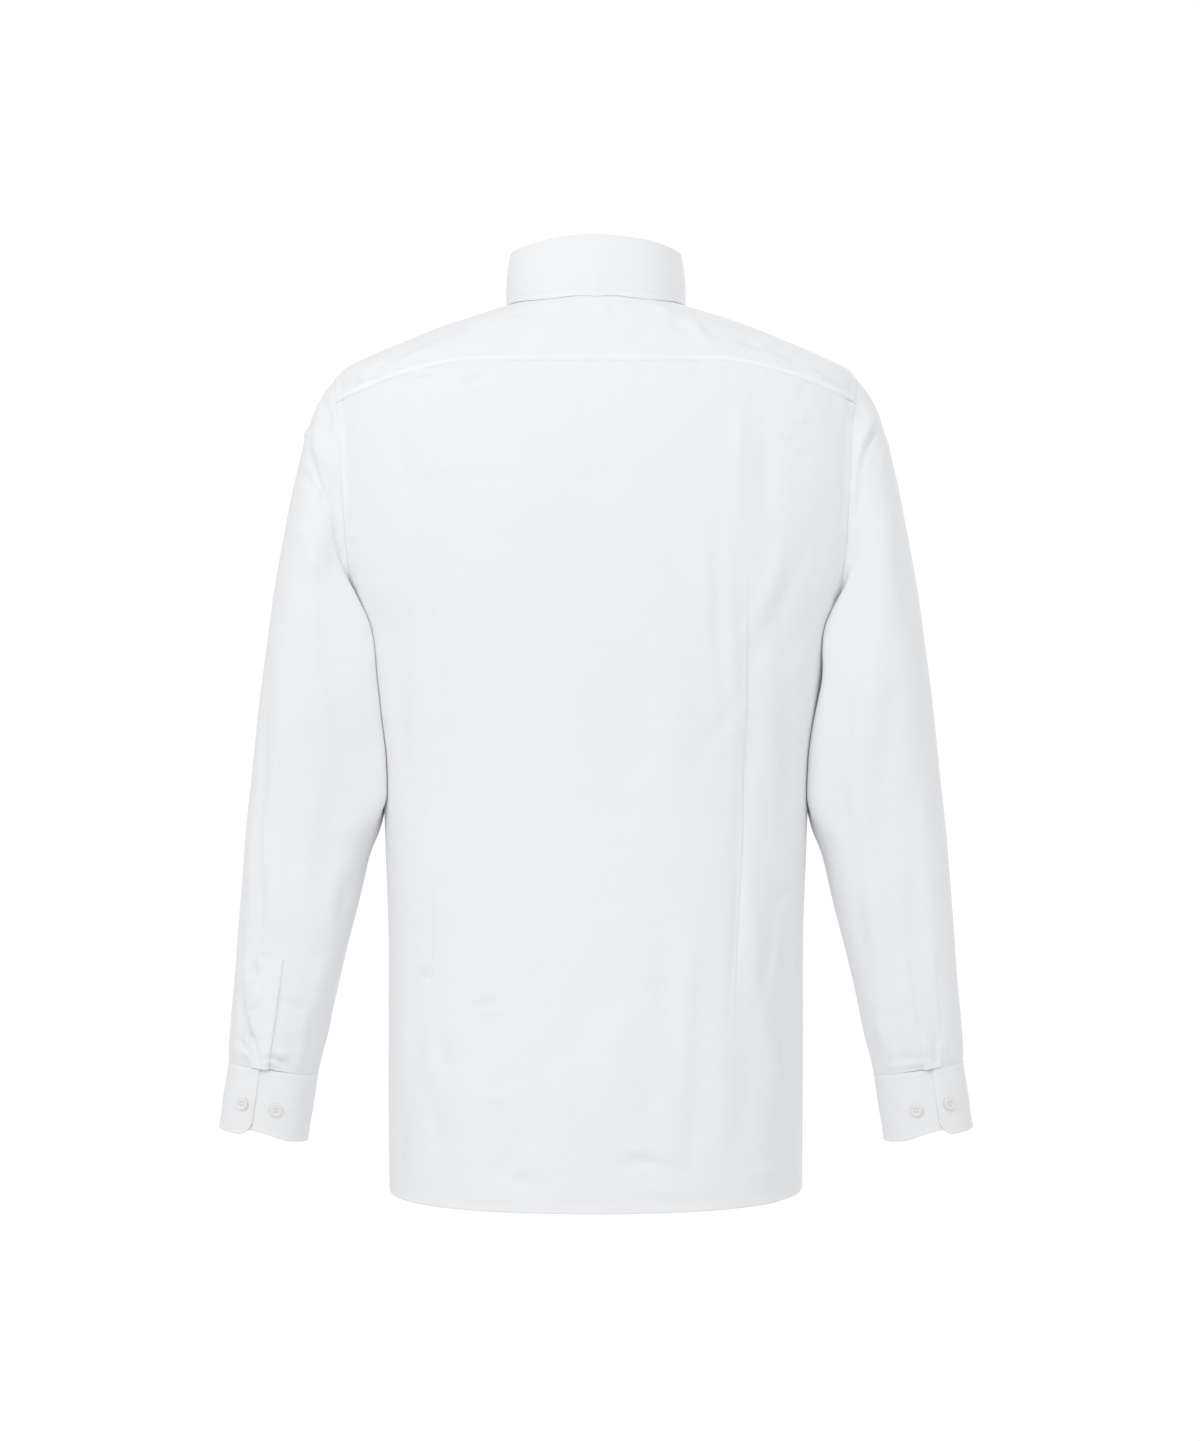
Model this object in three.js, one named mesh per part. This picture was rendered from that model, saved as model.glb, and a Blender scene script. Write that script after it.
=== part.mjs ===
// A long sleeve dress shirt, filled out as if worn, with open neck, hem and cuffs.
// Millimetres, +Z up. The front faces -Y, the back +Y, and the wearer's left side is +X.
// The origin is the middle of the neck opening at the height of the shoulders' inner ends.

import * as THREE from 'three';

// Cloth and gaps
const BODY_WALL = 1.5;
const SLEEVE_WALL = 1.5;
const COLLAR_WALL = 2;
const CUFF_WALL = 2;
const PLACKET_WALL = 1.2;
const SEAM_GAP = 0.3;
const CLOSING_GAP = 0.7;
const PLACKET_GAP = 0.45;
const LEAF_SEAM_GAP = 0.9;

// Body
const HEM_SIDE_Z = -773;
const HEM_BACK_DROP = 4.5;
const UNDERARM_Z = -292;
const FRONT_OVERLAP = 16;
const OVERLAP_RAMP = [22, 48];

// Armhole oval, seen from the side
const ARMHOLE_TOP_Z = -67;
const ARMHOLE_BACK = 57;
const ARMHOLE_FRONT = 52;
const ARMHOLE_POWER = 2.2;

// Yoke
const YOKE_BACK_Z = -64;
const YOKE_BACK_DROP = 30;
const YOKE_FLAT_HALF = 110;
const YOKE_CORNER_X = 219;
const YOKE_CORNER_Z = -94;
const YOKE_FRONT_NECK_Y = -35;
const YOKE_FRONT_ARM_Y = -23;

// Back darts
const DART_X = 133;
const DART_COLUMN = 0.479;
const DART_TOP_Z = -240;
const DART_BOTTOM_Z = -620;
const DART_DEPTH = 2.2;
const DART_HALF_WIDTH = 9;

// Collar
const NECK = { halfWidth: 69.5, back: 57, front: 76, power: 2.1 };
const STAND_TOP = { halfWidth: 70.5, back: 51.5, front: 73, power: 2.1 };
const STAND_HEIGHT = { back: 42, side: 38, front: 31 };
const LEAF_ROLL_RADIUS = 3.2;
const LEAF_END_ANGLE = 176;
const LEAF_BULGE = 1.6;

// Cuffs
const CUFF = { halfWidth: 39.3, halfDepth: 36.5, power: 2.1, height: 59, lean: 8.7, middleY: -8 };
const CUFF_TOP_CENTRE = { x: 281, z: -669.2 };
const CUFF_OVER_END = 78;
const CUFF_UNDER_START = 38;
const CUFF_CORNER_RADIUS = 13;
const CUFF_UNDER_LIFT = 5;

// Sleeve plackets
const PLACKET_ANGLES = [60, 88.5];
const PLACKET_TOP_RING = 13.3;

// Buttons
const BUTTON_RADIUS = 5.5;
const BUTTON_THICKNESS = 2.4;
const BUTTON_SIDES = 12;
const CUFF_BUTTONS = [
  { name: 'outer', angle: 61.5, down: 33 },
  { name: 'inner', angle: 104, down: 35 },
];
const FRONT_BUTTON_TOP_Z = -112;
const FRONT_BUTTON_PITCH = 92;
const FRONT_BUTTON_COUNT = 6;

// How finely the surfaces are divided
const BODY_ROWS = 15;
const ARMHOLE_BACK_SPANS = 8;
const ARMHOLE_TOP_SPANS = 6;
const ARMHOLE_FRONT_SPANS = 8;
const YOKE_ROWS = 6;
const FRONT_NECK_SPANS = 5;
const SLEEVE_ROW_STEP = 0.85;

// Level sections of the body, from the neck down. The widths below the shoulder and above the
// underarm run on past the armhole, where the sleeve takes over.
const BODY_SECTIONS = table(['z', 'halfWidth', 'back', 'front', 'power'], [
  [6, 46, 52, 38, 2.15],
  [0, 61, 57, 44, 2.15],
  [-5.6, 69.5, 64.5, 48, 2.15],
  [-8.6, 78, 67, 50, 2.15],
  [-14.2, 97, 70, 54, 2.2],
  [-25.7, 133, 75.5, 62, 2.25],
  [-38.8, 165, 81.5, 71, 2.3],
  [-51.4, 194.5, 87, 78.5, 2.35],
  [-63.6, 219, 92, 84.5, 2.4],
  [-75, 228, 96, 89.5, 2.4],
  [-100, 234, 103, 97, 2.4],
  [-150, 237, 112, 109, 2.4],
  [-200, 233, 116, 116.5, 2.4],
  [-250, 221, 117, 121, 2.4],
  [-292, 205, 116, 122, 2.4],
  [-328, 199.5, 114.5, 121.5, 2.4],
  [-350, 195.5, 113.5, 121, 2.4],
  [-402, 186.5, 112, 119.5, 2.35],
  [-437, 184.2, 112, 119, 2.35],
  [-480, 182.5, 114, 120, 2.35],
  [-567, 180, 121, 125, 2.3],
  [-654, 180, 129, 131, 2.3],
  [-740, 179.5, 135, 136, 2.3],
  [-790, 179, 137.5, 138.5, 2.3],
]);

// Slanting sections of the sleeve, from the armhole to the cuff seam: the lowest inner point,
// the outer point, the middle's place front to back, and the depths behind and before it.
const SLEEVE_SECTIONS = table(['ring', 'innerX', 'innerZ', 'outerX', 'outerZ', 'middleY', 'back', 'front'], [
  [0, 205.2, -292, 222.5, -67, 0, 57, 52],
  [1, 205.6, -294.5, 239, -88.8, 0, 59, 55],
  [2, 205.7, -298, 250.5, -118, 0, 61, 58],
  [3, 205.4, -303, 261, -158, 0, 63.5, 61],
  [4, 204.3, -312, 271, -208, 0, 66, 64],
  [5, 202.4, -328, 279.5, -256, 0, 67.5, 66],
  [6, 199, -352, 286, -304, 0, 67, 66],
  [7, 194.5, -381, 291.5, -346, 0, 63, 62],
  [8, 188.9, -413, 296.4, -391, 0, 57, 56],
  [9, 186.7, -441, 300.3, -428, 0, 52, 51],
  [10, 190.2, -466, 303, -451, 0, 49, 48],
  [11, 196.8, -485, 304.8, -470, 0, 47.5, 46.5],
  [12, 206.5, -526, 308.2, -511, -1, 46, 45],
  [13, 217.5, -568, 311.6, -554, -3, 44.5, 43.5],
  [14, 226, -604, 314.2, -591, -4, 43, 42],
  [15, 233, -638, 317, -625, -6, 41.5, 40.5],
  [16, 239.5, -662, 319, -650.5, -7, 39.5, 39],
  [17, 242.3, -675.1, 319.7, -663.3, -8, 37.5, 37],
]);
const SLEEVE_POWER = 2.15;

// Main folds of the left sleeve: where the middle of each lies, how it slants, and its size.
const SLEEVE_FOLDS = table(['angle', 'ring', 'slant', 'halfLength', 'halfWidth', 'height'], [
  [70, 2.2, 0.035, 46, 0.9, 2.2],
  [118, 3.6, 0.03, 40, 1.1, -2],
  [62, 8.6, 0.03, 48, 0.8, 2.2],
  [98, 10.1, -0.03, 44, 0.9, -2],
  [288, 9.2, 0.02, 62, 0.9, -3],
  [278, 10.7, -0.02, 58, 0.8, 2.5],
  [20, 14.6, 0, 9, 2.4, -1.8],
  [42, 15, 0, 8, 2.2, -2],
]);

// Broad folds of the back below the yoke and of the fronts beside the closing.
const BODY_FOLDS = table(['x', 'z', 'slant', 'halfLength', 'halfWidth', 'height', 'side'], [
  [-92, -205, 0.12, 95, 22, 1.8, 1],
  [88, -220, -0.1, 90, 24, 1.6, 1],
  [-60, -560, 0.05, 130, 26, -2, 1],
  [52, -600, -0.06, 120, 28, -1.8, 1],
  [-95, -520, 0.1, 120, 24, 2.2, -1],
  [90, -545, -0.12, 125, 26, 2.2, -1],
  [-120, -250, 0.35, 60, 20, 1.8, -1],
  [124, -255, -0.35, 60, 20, 1.8, -1],
]);

// The leaf's lower edge: its share of the way from the middle of the back to the front end, its
// place in plan, and its height above the cloth below.
const LEAF_EDGE = table(['share', 'x', 'y', 'lift'], [
  [0, 0, 66.5, 1.7],
  [0.17, 37, 60.2, 1.7],
  [0.34, 64.5, 39, 1.8],
  [0.51, 77.9, 0, 1.9],
  [0.65, 77.5, -29, 1.6],
  [0.78, 73.5, -56, 1.5],
  [0.9, 66.5, -77, 1.4],
  [1, 56, -92, 1.3],
]);

const CLOTH_COLOUR = 0xf3f3f5;
const BUTTON_COLOUR = 0xe9e6df;

// Rows of numbers with named columns.
function table(columns, rows) {
  return rows.map((row) => Object.fromEntries(columns.map((column, k) => [column, row[k]])));
}

const radians = (degrees) => (degrees * Math.PI) / 180;
const signedPower = (value, exponent) => Math.sign(value) * Math.abs(value) ** exponent;
const mix = (from, to, share) => from + (to - from) * share;

function smoothStep(from, to, value) {
  const share = Math.min(1, Math.max(0, (value - from) / (to - from)));
  return share * share * (3 - 2 * share);
}

// A smooth curve through one column of a table, that never overshoots its rows.
function smoothColumn(rows, along, column) {
  const ordered = [...rows].sort((first, second) => first[along] - second[along]);
  const places = ordered.map((row) => row[along]);
  const values = ordered.map((row) => row[column]);
  const steps = places.slice(1).map((place, k) => place - places[k]);
  const rises = steps.map((step, k) => (values[k + 1] - values[k]) / step);
  const slopes = values.map((_, k) => {
    if (k === 0) return rises[0];
    if (k === rises.length) return rises[k - 1];
    if (rises[k - 1] * rises[k] <= 0) return 0;
    return (2 * rises[k - 1] * rises[k]) / (rises[k - 1] + rises[k]);
  });
  return (place) => {
    let k = 0;
    while (k < steps.length - 1 && place > places[k + 1]) k += 1;
    const share = Math.min(1, Math.max(0, (place - places[k]) / steps[k]));
    const rest = 1 - share;
    return (
      values[k] * (1 + 2 * share) * rest * rest
      + slopes[k] * steps[k] * share * rest * rest
      + values[k + 1] * (3 - 2 * share) * share * share
      - slopes[k + 1] * steps[k] * share * share * rest
    );
  };
}

function smoothColumns(rows, along) {
  const columns = Object.keys(rows[0]).filter((column) => column !== along);
  return Object.fromEntries(columns.map((column) => [column, smoothColumn(rows, along, column)]));
}

const bodyAt = smoothColumns(BODY_SECTIONS, 'z');
const sleeveAt = smoothColumns(SLEEVE_SECTIONS, 'ring');
const leafEdgeAt = smoothColumns(LEAF_EDGE, 'share');

// The body's form

const bodyDepth = (z, y) => (y >= 0 ? bodyAt.back(z) : bodyAt.front(z));

// A point of the section at height z; 0 degrees is the left side and 90 the middle of the back.
function bodyPoint(angle, z) {
  const exponent = 2 / bodyAt.power(z);
  const sine = Math.sin(radians(angle));
  return new THREE.Vector3(
    bodyAt.halfWidth(z) * signedPower(Math.cos(radians(angle)), exponent),
    bodyDepth(z, sine) * signedPower(sine, exponent),
    z,
  );
}

// Below 1 inside the section at height z, above 1 outside it.
function bodyReach(x, y, z) {
  const power = bodyAt.power(z);
  return (Math.abs(x) / bodyAt.halfWidth(z)) ** power + (Math.abs(y) / bodyDepth(z, y)) ** power;
}

function bodyAngle(point) {
  const half = bodyAt.power(point.z) / 2;
  const across = signedPower(point.x / bodyAt.halfWidth(point.z), half);
  const along = signedPower(point.y / bodyDepth(point.z, point.y), half);
  return THREE.MathUtils.radToDeg(Math.atan2(along, across));
}

function bodyNormal(point) {
  const step = 0.05;
  const { x, y, z } = point;
  return new THREE.Vector3(
    bodyReach(x + step, y, z) - bodyReach(x - step, y, z),
    bodyReach(x, y + step, z) - bodyReach(x, y - step, z),
    bodyReach(x, y, z + step) - bodyReach(x, y, z - step),
  ).normalize();
}

// The form's height over a place in plan, on the shoulders and round the neck.
function bodyHeight(x, y) {
  let low = -130;
  let high = 6;
  for (let k = 0; k < 40; k += 1) {
    const middle = (low + high) / 2;
    if (bodyReach(x, y, middle) > 1) high = middle;
    else low = middle;
  }
  return low;
}

function bodyPointAtX(x, z, side) {
  const power = bodyAt.power(z);
  const depth = bodyDepth(z, side);
  const y = side * depth * (1 - (Math.abs(x) / bodyAt.halfWidth(z)) ** power) ** (1 / power);
  return new THREE.Vector3(x, y, z);
}

// How far the cloth stands proud of the form, at its folds and darts.
function bodyRelief(point) {
  const side = point.y >= 0 ? 1 : -1;
  let height = 0;
  for (const fold of BODY_FOLDS) {
    if (fold.side !== side) continue;
    const along = point.z - fold.z;
    const across = point.x - fold.x - fold.slant * along;
    height += fold.height * Math.exp(-((along / fold.halfLength) ** 2) - (across / fold.halfWidth) ** 2);
  }
  if (side > 0) {
    const across = (Math.abs(point.x) - DART_X) / DART_HALF_WIDTH;
    const fade = smoothStep(DART_BOTTOM_Z, DART_BOTTOM_Z + 120, point.z)
      * (1 - smoothStep(DART_TOP_Z - 90, DART_TOP_Z, point.z));
    height -= DART_DEPTH * fade * Math.exp(-across * across);
  }
  return height;
}

// Armholes: 0 degrees is the shoulder's tip, 90 the back and 180 the underarm.

const armholeMiddleZ = (ARMHOLE_TOP_Z + UNDERARM_Z) / 2;
const armholeHalfHeight = (ARMHOLE_TOP_Z - UNDERARM_Z) / 2;

function armholePoint(angle) {
  const exponent = 2 / ARMHOLE_POWER;
  const sine = Math.sin(radians(angle));
  const y = (sine >= 0 ? ARMHOLE_BACK : ARMHOLE_FRONT) * signedPower(sine, exponent);
  const z = armholeMiddleZ + armholeHalfHeight * signedPower(Math.cos(radians(angle)), exponent);
  const power = bodyAt.power(z);
  const x = bodyAt.halfWidth(z) * (1 - (Math.abs(y) / bodyDepth(z, y)) ** power) ** (1 / power);
  return new THREE.Vector3(x, y, z);
}

const armholeInward = (point) => new THREE.Vector3(0, -point.y, armholeMiddleZ - point.z).normalize();

const armholeBackCorner = THREE.MathUtils.radToDeg(
  Math.acos(((YOKE_CORNER_Z - armholeMiddleZ) / armholeHalfHeight) ** (ARMHOLE_POWER / 2)),
);
const armholeFrontCorner = -THREE.MathUtils.radToDeg(
  Math.asin((-YOKE_FRONT_ARM_Y / ARMHOLE_FRONT) ** (ARMHOLE_POWER / 2)),
);

function spread(from, to, spans) {
  return Array.from({ length: spans + 1 }, (_, k) => mix(from, to, k / spans));
}

const armholeBackAngles = spread(180, armholeBackCorner, ARMHOLE_BACK_SPANS);
const armholeTopAngles = spread(armholeFrontCorner, armholeBackCorner, ARMHOLE_TOP_SPANS);
const armholeFrontAngles = spread(-180, armholeFrontCorner, ARMHOLE_FRONT_SPANS);
const sleeveAngles = [
  ...armholeFrontAngles.slice(0, -1),
  ...armholeTopAngles.slice(0, -1),
  ...armholeBackAngles.toReversed().slice(0, -1),
];

// Neck seam, by angle from the middle of the back round the left side

function ringPoint(ring, angle) {
  const exponent = 2 / ring.power;
  const cosine = Math.cos(radians(angle));
  return new THREE.Vector2(
    ring.halfWidth * signedPower(Math.sin(radians(angle)), exponent),
    (cosine >= 0 ? ring.back : ring.front) * signedPower(cosine, exponent),
  );
}

function neckPoint(angle) {
  const plan = ringPoint(NECK, angle);
  return new THREE.Vector3(plan.x, plan.y, bodyHeight(plan.x, plan.y));
}

const neckFrontCorner = 180 - THREE.MathUtils.radToDeg(
  Math.acos((-YOKE_FRONT_NECK_Y / NECK.front) ** (NECK.power / 2)),
);
const neckBackCorner = 75;
const shoulderNeckAngle = (k) => mix(neckFrontCorner, neckBackCorner, k / ARMHOLE_TOP_SPANS);
const neckOverlapAngle = 180 + THREE.MathUtils.radToDeg(
  Math.asin((FRONT_OVERLAP / NECK.halfWidth) ** (NECK.power / 2)),
);

// Seams of the yoke

const DART_SIDE_SHARES = [0, 0.19, 0.38, 0.57, 0.76, 0.9, 1];
const acrossShares = [
  ...DART_SIDE_SHARES.map((share) => share * DART_COLUMN),
  ...[0.1, 0.25, 0.45, 0.7, 1].map((share) => mix(DART_COLUMN, 1, share)),
];
const backColumns = [...acrossShares.toReversed().map((share) => -share), ...acrossShares.slice(1)];

// The angle on the body of a column of the back, from -1 at the right edge to 1 at the left.
function backAngle(column, z, edgeAngle) {
  const half = bodyAt.power(z) / 2;
  const dartAngle = THREE.MathUtils.radToDeg(Math.acos((DART_X / bodyAt.halfWidth(z)) ** half));
  const share = Math.abs(column);
  const angle = share <= DART_COLUMN
    ? mix(90, dartAngle, share / DART_COLUMN)
    : mix(dartAngle, edgeAngle, (share - DART_COLUMN) / (1 - DART_COLUMN));
  return column >= 0 ? angle : 180 - angle;
}

function yokeBackZ(x) {
  const share = Math.max(0, (Math.abs(x) - YOKE_FLAT_HALF) / (YOKE_CORNER_X - YOKE_FLAT_HALF));
  return YOKE_BACK_Z - YOKE_BACK_DROP * share ** 1.5;
}

const backCornerPoint = armholePoint(armholeBackCorner);
const backCornerAngle = bodyAngle(backCornerPoint);

function yokeBackPoint(column) {
  if (Math.abs(column) === 1) {
    return new THREE.Vector3(Math.sign(column) * backCornerPoint.x, backCornerPoint.y, backCornerPoint.z);
  }
  let point = bodyPoint(backAngle(column, YOKE_BACK_Z, backCornerAngle), YOKE_BACK_Z);
  for (let k = 0; k < 6; k += 1) {
    const z = yokeBackZ(point.x);
    point = bodyPoint(backAngle(column, z, backCornerAngle), z);
  }
  return point;
}

const frontCornerPoint = armholePoint(armholeFrontCorner);

function yokeFrontPoint(share) {
  const neckCorner = neckPoint(neckFrontCorner);
  if (share === 0) return frontCornerPoint.clone();
  if (share === 1) return neckCorner;
  const x = mix(frontCornerPoint.x, neckCorner.x, share);
  const y = mix(YOKE_FRONT_ARM_Y, YOKE_FRONT_NECK_Y, share);
  return new THREE.Vector3(x, y, bodyHeight(x, y));
}

// Cloth walls

// A closed wall between the rows of points and the same points moved inwards.
function wallGeometry(rows, inwards, wall, wraps = false) {
  const columnCount = rows[0].length;
  const outer = rows.flat();
  const directions = inwards.flat();
  const inner = outer.map((point, k) => point.clone().addScaledVector(directions[k], wall));
  const indices = [];
  const outside = (row, column) => row * columnCount + (column % columnCount);
  const inside = (row, column) => outer.length + outside(row, column);
  const face = (a, b, c, d) => indices.push(a, b, c, a, c, d);
  const spans = wraps ? columnCount : columnCount - 1;
  const lastRow = rows.length - 1;
  for (let row = 0; row < lastRow; row += 1) {
    for (let column = 0; column < spans; column += 1) {
      const next = column + 1;
      face(outside(row, column), outside(row, next), outside(row + 1, next), outside(row + 1, column));
      face(inside(row, column), inside(row + 1, column), inside(row + 1, next), inside(row, next));
    }
  }
  for (let column = 0; column < spans; column += 1) {
    const next = column + 1;
    face(outside(0, next), outside(0, column), inside(0, column), inside(0, next));
    face(outside(lastRow, column), outside(lastRow, next), inside(lastRow, next), inside(lastRow, column));
  }
  if (!wraps) {
    for (let row = 0; row < lastRow; row += 1) {
      const below = row + 1;
      face(outside(row, 0), outside(below, 0), inside(below, 0), inside(row, 0));
      face(outside(below, spans), outside(row, spans), inside(row, spans), inside(below, spans));
    }
  }
  return facedOutwards([...outer, ...inner], indices);
}

function facedOutwards(points, indices) {
  let volume = 0;
  const cross = new THREE.Vector3();
  for (let k = 0; k < indices.length; k += 3) {
    cross.crossVectors(points[indices[k + 1]], points[indices[k + 2]]);
    volume += points[indices[k]].dot(cross);
  }
  const faces = volume < 0 ? indices.toReversed() : indices;
  const geometry = new THREE.BufferGeometry();
  geometry.setAttribute('position', new THREE.Float32BufferAttribute(points.flatMap((p) => p.toArray()), 3));
  geometry.setIndex(faces);
  geometry.computeVertexNormals();
  return geometry;
}

// Moves one edge of a grid in from its seam by half of the gap.
function drawBack(rows, edges) {
  const moved = rows.map((row) => row.map((point) => point.clone()));
  const lastRow = rows.length - 1;
  const lastColumn = rows[0].length - 1;
  const shift = (row, column, towards) => {
    const direction = towards.clone().sub(rows[row][column]).normalize();
    moved[row][column].addScaledVector(direction, SEAM_GAP / 2);
  };
  if (edges.includes('top')) rows[0].forEach((_, k) => shift(0, k, rows[1][k]));
  if (edges.includes('bottom')) rows[0].forEach((_, k) => shift(lastRow, k, rows[lastRow - 1][k]));
  if (edges.includes('start')) rows.forEach((row, k) => shift(k, 0, row[1]));
  if (edges.includes('end')) rows.forEach((row, k) => shift(k, lastColumn, row[lastColumn - 1]));
  return moved;
}

// Crosswise normals of a grid of points, turned towards a point inside each row.
function gridInwards(rows, wraps, insideOf) {
  const count = rows[0].length;
  return rows.map((row, j) => row.map((point, i) => {
    const before = wraps ? row[(i + count - 1) % count] : row[Math.max(0, i - 1)];
    const after = wraps ? row[(i + 1) % count] : row[Math.min(count - 1, i + 1)];
    const above = rows[Math.max(0, j - 1)][i];
    const below = rows[Math.min(rows.length - 1, j + 1)][i];
    const normal = after.clone().sub(before).cross(below.clone().sub(above)).normalize();
    const inside = insideOf(j).sub(point);
    return normal.dot(inside) < 0 ? normal.negate() : normal;
  }));
}

function mirrored(rows) {
  return rows.map((row) => row.map((point) => new THREE.Vector3(-point.x, point.y, point.z)));
}

const clothMaterial = () => new THREE.MeshStandardMaterial({
  color: CLOTH_COLOUR, roughness: 0.9, metalness: 0,
});
const buttonMaterial = () => new THREE.MeshStandardMaterial({
  color: BUTTON_COLOUR, roughness: 0.25, metalness: 0,
});

const group = new THREE.Group();

function addMesh(name, geometry, material) {
  const mesh = new THREE.Mesh(geometry, material);
  mesh.name = name;
  group.add(mesh);
  return mesh;
}

function raised(point, relief = bodyRelief(point)) {
  return point.clone().addScaledVector(bodyNormal(point), relief);
}

// Back panel: level rows up to the underarm, then rows that end on the armholes and rise to the
// yoke seam in the middle.

function backPanel() {
  const rows = [];
  const inwards = [];
  const addRow = (points, edgeInward) => {
    rows.push(points.map((point, k) => {
      const atSeam = k === 0 || k === points.length - 1 || rows.length === BODY_ROWS + ARMHOLE_BACK_SPANS;
      const fade = atSeam ? 0 : 1;
      return raised(point, fade * bodyRelief(point));
    }));
    inwards.push(points.map((point, k) => {
      if (edgeInward && k === 0) return new THREE.Vector3(-edgeInward.x, edgeInward.y, edgeInward.z);
      if (edgeInward && k === points.length - 1) return edgeInward;
      return bodyNormal(point).negate();
    }));
  };
  for (const level of spread(HEM_SIDE_Z, UNDERARM_Z, BODY_ROWS).slice(0, -1)) {
    const droop = HEM_BACK_DROP * (1 - smoothStep(HEM_SIDE_Z, HEM_SIDE_Z + 90, level));
    addRow(backColumns.map((column) => {
      const z = level - droop * (1 - column * column);
      return bodyPoint(backAngle(column, z, 0), z);
    }));
  }
  armholeBackAngles.forEach((armholeAngle, k) => {
    const edge = armholePoint(armholeAngle);
    const edgeAngle = bodyAngle(edge);
    const last = k === armholeBackAngles.length - 1;
    const lift = smoothStep(UNDERARM_Z, YOKE_CORNER_Z, edge.z);
    addRow(backColumns.map((column) => {
      if (last) return yokeBackPoint(column);
      if (Math.abs(column) === 1) return new THREE.Vector3(Math.sign(column) * edge.x, edge.y, edge.z);
      const z = edge.z + lift * (yokeBackPoint(column).z - YOKE_CORNER_Z);
      return bodyPoint(backAngle(column, z, edgeAngle), z);
    }), armholeInward(edge));
  });
  const drawn = [
    ...drawBack(rows.slice(0, BODY_ROWS + 1), ['start', 'end']),
    ...drawBack(rows.slice(BODY_ROWS + 1), ['bottom']),
  ];
  addMesh('back_panel', wallGeometry(drawn, inwards, BODY_WALL), clothMaterial());
}

// Fronts: the left one closes over the right one.

function frontPanel(side) {
  const yokeShares = spread(0, 1, YOKE_ROWS);
  const neckAngles = [...spread(neckFrontCorner, 180, FRONT_NECK_SPANS).slice(1), neckOverlapAngle];
  const top = [...yokeShares.map(yokeFrontPoint), ...neckAngles.map(neckPoint)];
  const last = top.length - 1;
  const middleColumn = last - 1;
  const columnAngle = (column, z) => {
    if (column < last) return mix(0, -90, column / middleColumn);
    return bodyAngle(bodyPointAtX(-FRONT_OVERLAP, z, -1));
  };
  const columns = top.map((_, column) => column);
  const rows = spread(HEM_SIDE_Z, UNDERARM_Z, BODY_ROWS).slice(0, -1).map((level) => (
    columns.map((column) => bodyPoint(columnAngle(column, level), level))
  ));
  const inwards = rows.map((row) => row.map((point) => bodyNormal(point).negate()));
  const asPlace = (point) => {
    const angle = bodyAngle(point);
    return { angle: angle > 90 ? angle - 360 : angle, z: point.z };
  };
  const topPlaces = top.map(asPlace);
  const bottomPlaces = columns.map((column) => ({ angle: columnAngle(column, UNDERARM_Z), z: UNDERARM_Z }));
  armholeFrontAngles.forEach((armholeAngle, k) => {
    const edge = armholePoint(armholeAngle);
    const share = (edge.z - UNDERARM_Z) / (frontCornerPoint.z - UNDERARM_Z);
    const edgePlace = k === 0 ? bottomPlaces[0] : asPlace(edge);
    const endZ = mix(UNDERARM_Z, top[last].z, share);
    const endPlace = { angle: bodyAngle(bodyPointAtX(-FRONT_OVERLAP, endZ, -1)), z: endZ };
    const isTop = k === armholeFrontAngles.length - 1;
    const row = columns.map((column) => {
      if (isTop) return top[column].clone();
      if (column === 0) return edge.clone();
      const across = column / last;
      const blend = (key) => {
        const upright = mix(bottomPlaces[column][key], topPlaces[column][key], share);
        const startLine = mix(bottomPlaces[0][key], topPlaces[0][key], share);
        const endLine = mix(bottomPlaces[last][key], topPlaces[last][key], share);
        return upright + (1 - across) * (edgePlace[key] - startLine) + across * (endPlace[key] - endLine);
      };
      return bodyPoint(blend('angle'), blend('z'));
    });
    rows.push(row);
    inwards.push(row.map((point, column) => (
      column === 0 ? armholeInward(edge) : bodyNormal(point).negate()
    )));
  });
  const under = CLOSING_GAP + BODY_WALL;
  const shaped = rows.map((row) => row.map((point, column) => {
    const reliefSide = new THREE.Vector3(side * point.x, point.y, point.z);
    const fade = smoothStep(0, 2, column) * (1 - smoothStep(middleColumn - 3, middleColumn, column));
    const closing = side > 0 ? 0 : under * (1 - smoothStep(...OVERLAP_RAMP, point.x));
    return raised(point, fade * bodyRelief(reliefSide) - closing);
  }));
  const drawn = [
    ...drawBack(shaped.slice(0, BODY_ROWS + 1), ['start']),
    ...drawBack(shaped.slice(BODY_ROWS + 1), ['bottom']),
  ];
  const name = side > 0 ? 'left_front' : 'right_front';
  const place = side > 0 ? (grid) => grid : mirrored;
  addMesh(name, wallGeometry(place(drawn), place(inwards), BODY_WALL), clothMaterial());
}

// Yoke: a strip from the neck seam out to the front seam, over the shoulder and along the back.

function yokeOutline() {
  const shoulder = (side) => armholeTopAngles.slice(0, -1).map((angle, k) => {
    const point = armholePoint(angle);
    point.x *= side;
    return { neckAngle: side * shoulderNeckAngle(k), point, inward: armholeInward(point) };
  });
  const back = backColumns.map((column) => {
    const point = yokeBackPoint(column);
    const inward = Math.abs(column) === 1 ? armholeInward(point) : null;
    return { neckAngle: column * neckBackCorner, point, inward };
  });
  return [...shoulder(-1), ...back, ...shoulder(1).toReversed()];
}

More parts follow.
